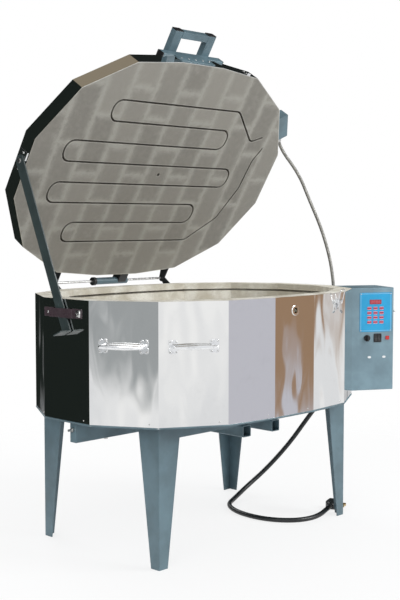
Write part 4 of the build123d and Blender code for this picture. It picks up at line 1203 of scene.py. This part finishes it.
@dataclass
class PowerCord:
    """Heavy rubber mains cord from the back of the control box to the plug on the floor."""

    diameter: float = 0.018
    length: float = 1.527
    case_along: float = 0.183
    out: float = 0.095
    height: float = OVAL.rim - 0.36
    gland: float = 0.032
    lead: float = 0.076

    def route(self) -> Array:
        """Control points: straight out of the gland, down, and along the floor."""
        exit_at = OVAL.place(Panel.CORNER_RIGHT, self.case_along, self.height, self.out)
        start = exit_at.origin + exit_at.x * self.gland
        bend = exit_at.origin + exit_at.x * (self.gland + self.lead)
        rest = [
            (0.738, -0.062, 0.450),
            (0.725, 0.000, 0.385),
            (0.690, 0.050, 0.300),
            (0.634, 0.100, 0.195),
            (0.545, 0.145, 0.098),
            (0.440, 0.165, 0.035),
            (0.345, 0.140, 0.011),
            (0.255, 0.095, 0.0095),
            (0.205, 0.010, 0.0092),
            (0.190, -0.085, 0.0092),
            (0.205, -0.170, 0.0092),
            (0.255, -0.238, 0.0092),
            (0.325, -0.264, 0.0092),
            (0.388, -0.260, 0.012),
            (0.440, -0.244, 0.0172),
            (0.490, -0.226, 0.0172),
        ]
        return np.vstack([start, bend, rest])

    def build(self, shop: Workshop) -> None:
        """Lay the cord and dress its gland and plug."""
        points = self.route()
        cord = spline_object("mains_cord", points)
        cord.data.bevel_depth = self.diameter / 2
        cord.data.bevel_resolution = 5
        cord.data.use_fill_caps = True
        shop.dress(Finish.RUBBER, "plug_body", "cord_gland")
        shop.dress(Finish.BRASS, "plug_pins")
        shop.add(cord, Finish.RUBBER, "body", "black_rubber", ["power_cord"])


@dataclass
class Conduit:
    """Flexible steel conduit, wound from strip, that bows between the lid and the control box."""

    diameter: float = 0.013
    pitch: float = 0.0046
    rib: float = 0.0007
    steps_per_rib: int = 6
    lid_along: float = 0.159
    lid_drop: float = 0.028
    lid_out: float = 0.025
    lid_reaches: tuple[float, float] = (0.006, 0.052)
    case_along: float = 0.183
    case_drop: float = 0.090
    case_out: float = 0.060
    case_reaches: tuple[float, float] = (0.127, 0.006)
    bend_from: float = 0.26
    bend_to: float = 0.74

    def route(self) -> Array:
        """Control points from the junction box on the open lid down to the control box."""
        lid = OVAL.place(Panel.CORNER_RIGHT, self.lid_along, OVAL.lid_top - self.lid_drop, self.lid_out)
        case = OVAL.place(Panel.CORNER_RIGHT, self.case_along, OVAL.rim - self.case_drop, self.case_out)
        top = OVAL.opened(np.stack([lid.origin + lid.x * reach for reach in self.lid_reaches]))
        middle = [
            (0.676, 0.092, 1.305),
            (0.682, 0.040, 1.195),
            (0.688, -0.008, 1.100),
            (0.693, -0.042, 1.009),
            (0.697, -0.066, 0.917),
        ]
        foot = [case.origin + case.x * reach for reach in self.case_reaches]
        return np.vstack([top, middle, foot])

    def build(self, shop: Workshop) -> None:
        """Wind the conduit along its route."""
        guide = spline_object("conduit_guide", self.route())
        guide.data.resolution_u = 40
        path, at = even_steps(spline_line(guide), self.pitch / self.steps_per_rib)
        bpy.data.objects.remove(guide)
        wave = np.abs(np.sin(math.pi * at / self.pitch)) ** 0.7
        radius = self.diameter / 2 - self.rib + self.rib * wave
        piece = carried_tube(path, radius, 18).object("conduit_hose")
        shop.add(piece, Finish.CONDUIT, "", "conduit_steel", ["conduit"])
        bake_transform(piece)
        shop.dress(Finish.ZINC, "conduit_fitting_lid", "conduit_fitting_case")


# Kiln body


@dataclass
class KilnBody:
    """Brick floor and walls with their elements, the polished jacket and the peephole."""

    groove_inset: float = 0.060
    groove_drop: float = 0.026
    groove_corner: float = 0.012
    course: float = 0.1143
    courses: int = 3
    coil: float = 0.0027
    wire: float = 0.0008
    turns: float = 150.0
    bead: float = 0.0022
    bead_corner: float = 0.004
    bead_overhang: float = 0.00044
    bead_step: float = 0.02
    screw: float = 0.0026
    screw_rise: float = 0.014
    screw_from_corner: float = 0.030

    def build(self, shop: Workshop) -> None:
        """Dress the bricks and jacket and add the wall elements and the jacket's lower bead."""
        shop.dress(Finish.WALL, "floor_slab", "wall_course_1", "wall_course_2", "wall_course_3")
        shop.dress(Finish.JACKET, "body_jacket", "peephole_tube")
        self._elements(shop)
        self._bead(shop)
        self._screws(shop)

    def _elements(self, shop: Workshop) -> None:
        """Two wound elements in each course, round the whole wall."""
        corners = OVAL.corners(self.groove_inset)
        flat = rounded_route(corners, self.groove_corner, 1 / (self.turns * STEPS_PER_TURN), closed=True)
        for number in range(self.courses):
            top = OVAL.floor + (number + 1) * self.course - self.groove_drop
            routes = [at_height(flat, level) for level in (top, top - self.course / 2)]
            shells = [coil_shell(route, self.coil, self.wire, self.turns) for route in routes]
            piece = Shell.joined(shells).object(f"wall_coils_{number + 1}")
            replaces = ["wall_elements"] if number == 0 else []
            shop.add(piece, Finish.WIRE, "body", "element", replaces)

    def _bead(self, shop: Workshop) -> None:
        """Rolled lower edge of the jacket."""
        corners = OVAL.corners(-self.bead_overhang)
        flat = rounded_route(corners, self.bead_corner, self.bead_step, closed=True)
        route = at_height(flat[:-1], OVAL.pan_top + self.bead)
        piece = carried_tube(route, self.bead, 10, closed=True).object("jacket_bead")
        shop.add(piece, Finish.STAND, "body", "stand")

    def _screws(self, shop: Workshop) -> None:
        """One small screw near the lower right corner of each panel."""
        heads = []
        for panel, width in enumerate(OVAL.widths()):
            spot = (float(width) - self.screw_from_corner, OVAL.pan_top + self.screw_rise)
            heads += heads_on(panel, [spot], 0.0, self.screw)
        shop.fasten("jacket_screws", "body", heads)


# Lid


@dataclass
class Lid:
    """Brick lid with its band, wound element, terminals and junction box."""

    coil: float = 0.0027
    wire: float = 0.0008
    turns: float = 165.0
    sink: float = 0.0045
    turn_radius: float = 0.036
    lead_radius: float = 0.024
    passes: int = 8
    pitch: float = 0.0823
    first: float = -0.284
    end: float = 0.286
    rights: tuple[float, ...] = (0.279, 0.380, 0.267)
    lefts: tuple[float, ...] = (-0.336, -0.479, -0.482, -0.352)
    terminal_along: float = 0.124
    terminal_half: float = 0.027
    terminal_inset: float = 0.084
    box_along: float = 0.054
    box_drop: float = 0.006
    box_out: float = 0.052
    box_screws: tuple[tuple[float, float], ...] = ((0.010, -0.010), (0.095, -0.034))
    box_screw: float = 0.0034

    def route(self) -> Array:
        """Corners of the serpentine, from one terminal to the other, on the closed lid."""
        alongs = (self.terminal_along - self.terminal_half, self.terminal_along + self.terminal_half)
        leads = [
            OVAL.place(Panel.CORNER_RIGHT, along, 0.0, -self.terminal_inset).origin[:2] for along in alongs
        ]
        corners = [leads[0], (0.417, -0.163)]
        for row in range(self.passes):
            y = self.first + row * self.pitch
            right = self.end if row in (0, self.passes - 1) else self.rights[(row - 1) // 2]
            left = self.lefts[row // 2]
            corners += [(x, y) for x in ((right, left) if row % 2 == 0 else (left, right))]
        corners += [(0.414, 0.188), (0.470, 0.046), (0.477, -0.080), leads[1]]
        return np.array([tuple(corner) for corner in corners])

    def build(self, shop: Workshop) -> None:
        """Dress the lid and add its element and the screws of the junction box."""
        shop.dress(Finish.LID, "lid_slab")
        shop.dress(Finish.BAND, "lid_band")
        shop.dress(Finish.PORCELAIN, "lid_terminals")
        shop.dress(Finish.STAND, "junction_box", "junction_cover")
        corners = self.route()
        radii = np.full(len(corners) - 2, self.turn_radius)
        radii[0] = self.lead_radius
        radii[-3:] = self.lead_radius
        flat = rounded_route(corners, radii, 1 / (self.turns * STEPS_PER_TURN))
        shell = coil_shell(at_height(flat, OVAL.lid_base + self.sink), self.coil, self.wire, self.turns)
        piece = Shell(OVAL.opened(shell.points), shell.faces).object("lid_coil")
        shop.add(piece, Finish.WIRE, "lid", "element", ["lid_element"])
        cover = OVAL.place(Panel.CORNER_RIGHT, self.box_along, OVAL.lid_top - self.box_drop, self.box_out)
        heads = [screw_shell(cover.moved(x, y), self.box_screw) for x, y in self.box_screws]
        shop.fasten("cover_screws", "lid", heads, opened=True)


@dataclass
class LidHandle:
    """Square-tube handle on the front of the lid."""

    plate: float = 0.003
    screw: float = 0.0034
    screw_drop: float = 0.024
    screw_spots: tuple[float, ...] = (-0.085, -0.050, -0.014, 0.022, 0.054)

    def build(self, shop: Workshop) -> None:
        """Dress the handle and add the screws of its plate."""
        shop.dress(Finish.STAND, "handle_tube", "handle_posts", "handle_grip", "handle_plate")
        shop.dress(Finish.BLACK, "handle_caps")
        spots = [(OVAL.flat / 2 + x, OVAL.lid_top - self.screw_drop) for x in self.screw_spots]
        heads = heads_on(Panel.FRONT, spots, self.plate, self.screw)
        shop.fasten("handle_screws", "lid", heads, opened=True)


# Stand and ironwork


@dataclass
class Stand:
    """Angle-iron stand."""

    def build(self, shop: Workshop) -> None:
        """Dress the stand."""
        legs = ("leg_back_right", "leg_back_left", "leg_front_right", "leg_front_left")
        shop.dress(Finish.STAND, *legs, "long_rails", "cross_tubes", "centre_rails", "base_pan")
        shop.dress(Finish.ZINC, "rail_bolts")


@dataclass
class Ironwork:
    """Hinge, prop arm and toggle latch."""

    plate: float = 0.003
    hinge_screw: float = 0.0038
    foot_from_middle: float = 0.2696
    foot_drops: tuple[float, float] = (0.022, 0.060)
    ear_from_middle: float = 0.266
    ear_rises: tuple[float, float] = (0.014, 0.042)
    guide_rivet: float = 0.0045
    guide_rivets: tuple[float, float] = (0.0255, 0.1733)
    guide_drop: float = 0.045
    guide_plate_along: float = 0.178
    guide_plate_half: tuple[float, float] = (0.012, 0.011)
    guide_plate_thickness: float = 0.0015
    bracket_rivet: float = 0.0042
    bracket_rivets: tuple[float, float] = (0.1003, 0.1603)
    bracket_rise: float = 0.028
    latch_along: float = 0.152
    latch_plate: float = 0.0016
    base_screw: float = 0.0026
    base_drops: tuple[float, float] = (0.023, 0.055)
    keeper_screw: float = 0.0028
    keeper_rises: tuple[float, float] = (0.020, 0.034)

    def build(self, shop: Workshop) -> None:
        """Dress the ironwork and add its screws."""
        shop.dress(Finish.BLACK_STEEL, "hinge_ears", "hinge_feet", "spring_mount", "spring_collar")
        shop.dress(Finish.ZINC, "hinge_rod", "arm_pin")
        shop.dress(Finish.STAND, "spring_tube")
        shop.dress(Finish.ARM, "prop_arm")
        shop.dress(Finish.GUIDE, "arm_guide")
        shop.dress(Finish.CHROME, "arm_bracket", "latch_base", "latch_lever", "latch_bail", "latch_keeper")
        self._body_screws(shop)
        self._lid_screws(shop)

    def _body_screws(self, shop: Workshop) -> None:
        """Screws of the hinge feet, the guide strap with its small plate, and the latch's base."""
        heads = self._hinge_heads(self.foot_from_middle, [OVAL.rim - drop for drop in self.foot_drops])
        level = OVAL.rim - self.guide_drop
        spots = [(along, level) for along in self.guide_rivets]
        heads += heads_on(Panel.END_LEFT, spots, self.plate, self.guide_rivet, slotted=False)
        middle = OVAL.place(Panel.END_LEFT, self.guide_plate_along, level, self.plate)
        heads.append(plate_shell(middle, *self.guide_plate_half, self.guide_plate_thickness))
        spots = [(self.latch_along, OVAL.rim - drop) for drop in self.base_drops]
        heads += heads_on(Panel.SIDE_RIGHT, spots, self.latch_plate, self.base_screw)
        shop.fasten("body_screws", "body", heads)

    def _lid_screws(self, shop: Workshop) -> None:
        """Screws of the hinge ears, the arm's bracket and the latch's keeper."""
        heads = self._hinge_heads(self.ear_from_middle, [OVAL.lid_base + rise for rise in self.ear_rises])
        spots = [(along, OVAL.lid_base + self.bracket_rise) for along in self.bracket_rivets]
        heads += heads_on(Panel.END_LEFT, spots, self.plate, self.bracket_rivet, slotted=False)
        spots = [(self.latch_along, OVAL.lid_base + rise) for rise in self.keeper_rises]
        heads += heads_on(Panel.SIDE_RIGHT, spots, self.latch_plate, self.keeper_screw)
        shop.fasten("lid_screws", "lid", heads, opened=True)

    def _hinge_heads(self, from_middle: float, heights: Sequence[float]) -> list[Shell]:
        """Screws on the two hinge flanges at the back.

        Args:
            from_middle: Distance of the screws from the middle of the kiln, along X.
            heights: Height of each screw.

        Returns:
            One surface for each screw.
        """
        heads = []
        for panel, side in ((Panel.SIDE_BACK_LEFT, -1), (Panel.SIDE_BACK_RIGHT, 1)):
            start = OVAL.place(panel, 0.0, 0.0)
            along = abs(side * from_middle - start.origin[0]) / abs(start.x[0])
            heads += heads_on(panel, [(along, height) for height in heights], self.plate, self.hinge_screw)
        return heads


@dataclass
class PullHandles:
    """Four chromed pull handles on lobed plates."""

    drop: float = 0.142
    spacing: float = 0.135
    plate: float = 0.003
    screw: float = 0.0033
    screw_across: float = 0.010
    screw_up: float = 0.0165

    def build(self, shop: Workshop) -> None:
        """Dress the handles and add four screws to each plate."""
        shop.dress(Finish.CHROME, "pull_plates", "pull_grips")
        front = (Panel.CORNER_LEFT, Panel.SHOULDER_LEFT)
        back = (Panel.BACK_CORNER_RIGHT, Panel.BACK_SHOULDER_RIGHT)
        level = OVAL.rim - self.drop
        alongs = [OVAL.brick / 2 + end * self.spacing / 2 for end in (-1, 1)]
        signs = ((-1, -1), (1, -1), (-1, 1), (1, 1))
        across, up = self.screw_across, self.screw_up
        spots = [(along + x * across, level + y * up) for along in alongs for x, y in signs]
        heads = [head for panel in front + back for head in heads_on(panel, spots, self.plate, self.screw)]
        shop.fasten("pull_screws", "body", heads)


@dataclass
class ControlBox:
    """Steel control box with its overlay, keys and switches."""

    face_along: float = 0.015
    overlay: float = 0.0012
    screw: float = 0.0026
    screw_outs: tuple[float, float] = (0.0415, 0.1635)
    screw_drops: tuple[float, float] = (0.0235, 0.1625)
    stud_along: float = 0.024
    stud_drop: float = 0.091
    stud_out: float = 0.177
    stud_neck: float = 0.002
    stud_head: float = 0.004
    stud_length: float = 0.009
    stud_rounding: float = 0.001

    def build(self, shop: Workshop) -> None:
        """Dress the box and add the overlay's screws and the stud on the outer side."""
        shop.dress(Finish.BOX, "control_case")
        shop.dress(Finish.OVERLAY, "control_panel")
        shop.dress(Finish.DISPLAY, "display")
        shop.dress(Finish.KEYS, "keypad")
        shop.dress(Finish.BLACK, "knob", "rocker_frame", "rocker_inner", "rocker_outer")
        shop.dress(Finish.LAMP, "pilot_lamp")
        shop.dress(Finish.WHITE, "buttons")
        heads = []
        for out in self.screw_outs:
            for drop in self.screw_drops:
                place = self._face(out, OVAL.rim - drop).moved(z=self.overlay)
                heads.append(screw_shell(place, self.screw))
        heads.append(self._stud())
        shop.fasten("case_screws", "body", heads)

    def _stud(self) -> Shell:
        """Small knobbed stud, turned about the line out of the box's outer side."""
        side = OVAL.place(Panel.CORNER_RIGHT, self.stud_along, OVAL.rim - self.stud_drop, self.stud_out)
        neck, head, top, rounding = self.stud_neck, self.stud_head, self.stud_length, self.stud_rounding
        profile = [
            (neck, 0.0),
            (neck, 2 * rounding),
            (head, 3 * rounding),
            (head, top - rounding),
            (head - rounding, top),
            (0.0, top),
        ]
        return turned_shell(np.array(profile), side, 20)

    def _face(self, out: float, height: float) -> Place:
        """Frame on the face with the controls: x away from the kiln, y up, z towards the front."""
        side = OVAL.place(Panel.CORNER_RIGHT, self.face_along, height, out)
        return Place(side.origin, side.z, UP, -side.x)


def main() -> None:
    """Build the studio and every sub-assembly in order."""
    logging.basicConfig(level=logging.INFO, format="%(name)s: %(message)s")
    shop = Workshop()
    Studio().build()
    assemblies = [
        PowerCord(),
        Conduit(),
        Stand(),
        KilnBody(),
        Lid(),
        LidHandle(),
        Ironwork(),
        PullHandles(),
        ControlBox(),
    ]
    for assembly in assemblies:
        assembly.build(shop)


if __name__ == "__main__":
    main()
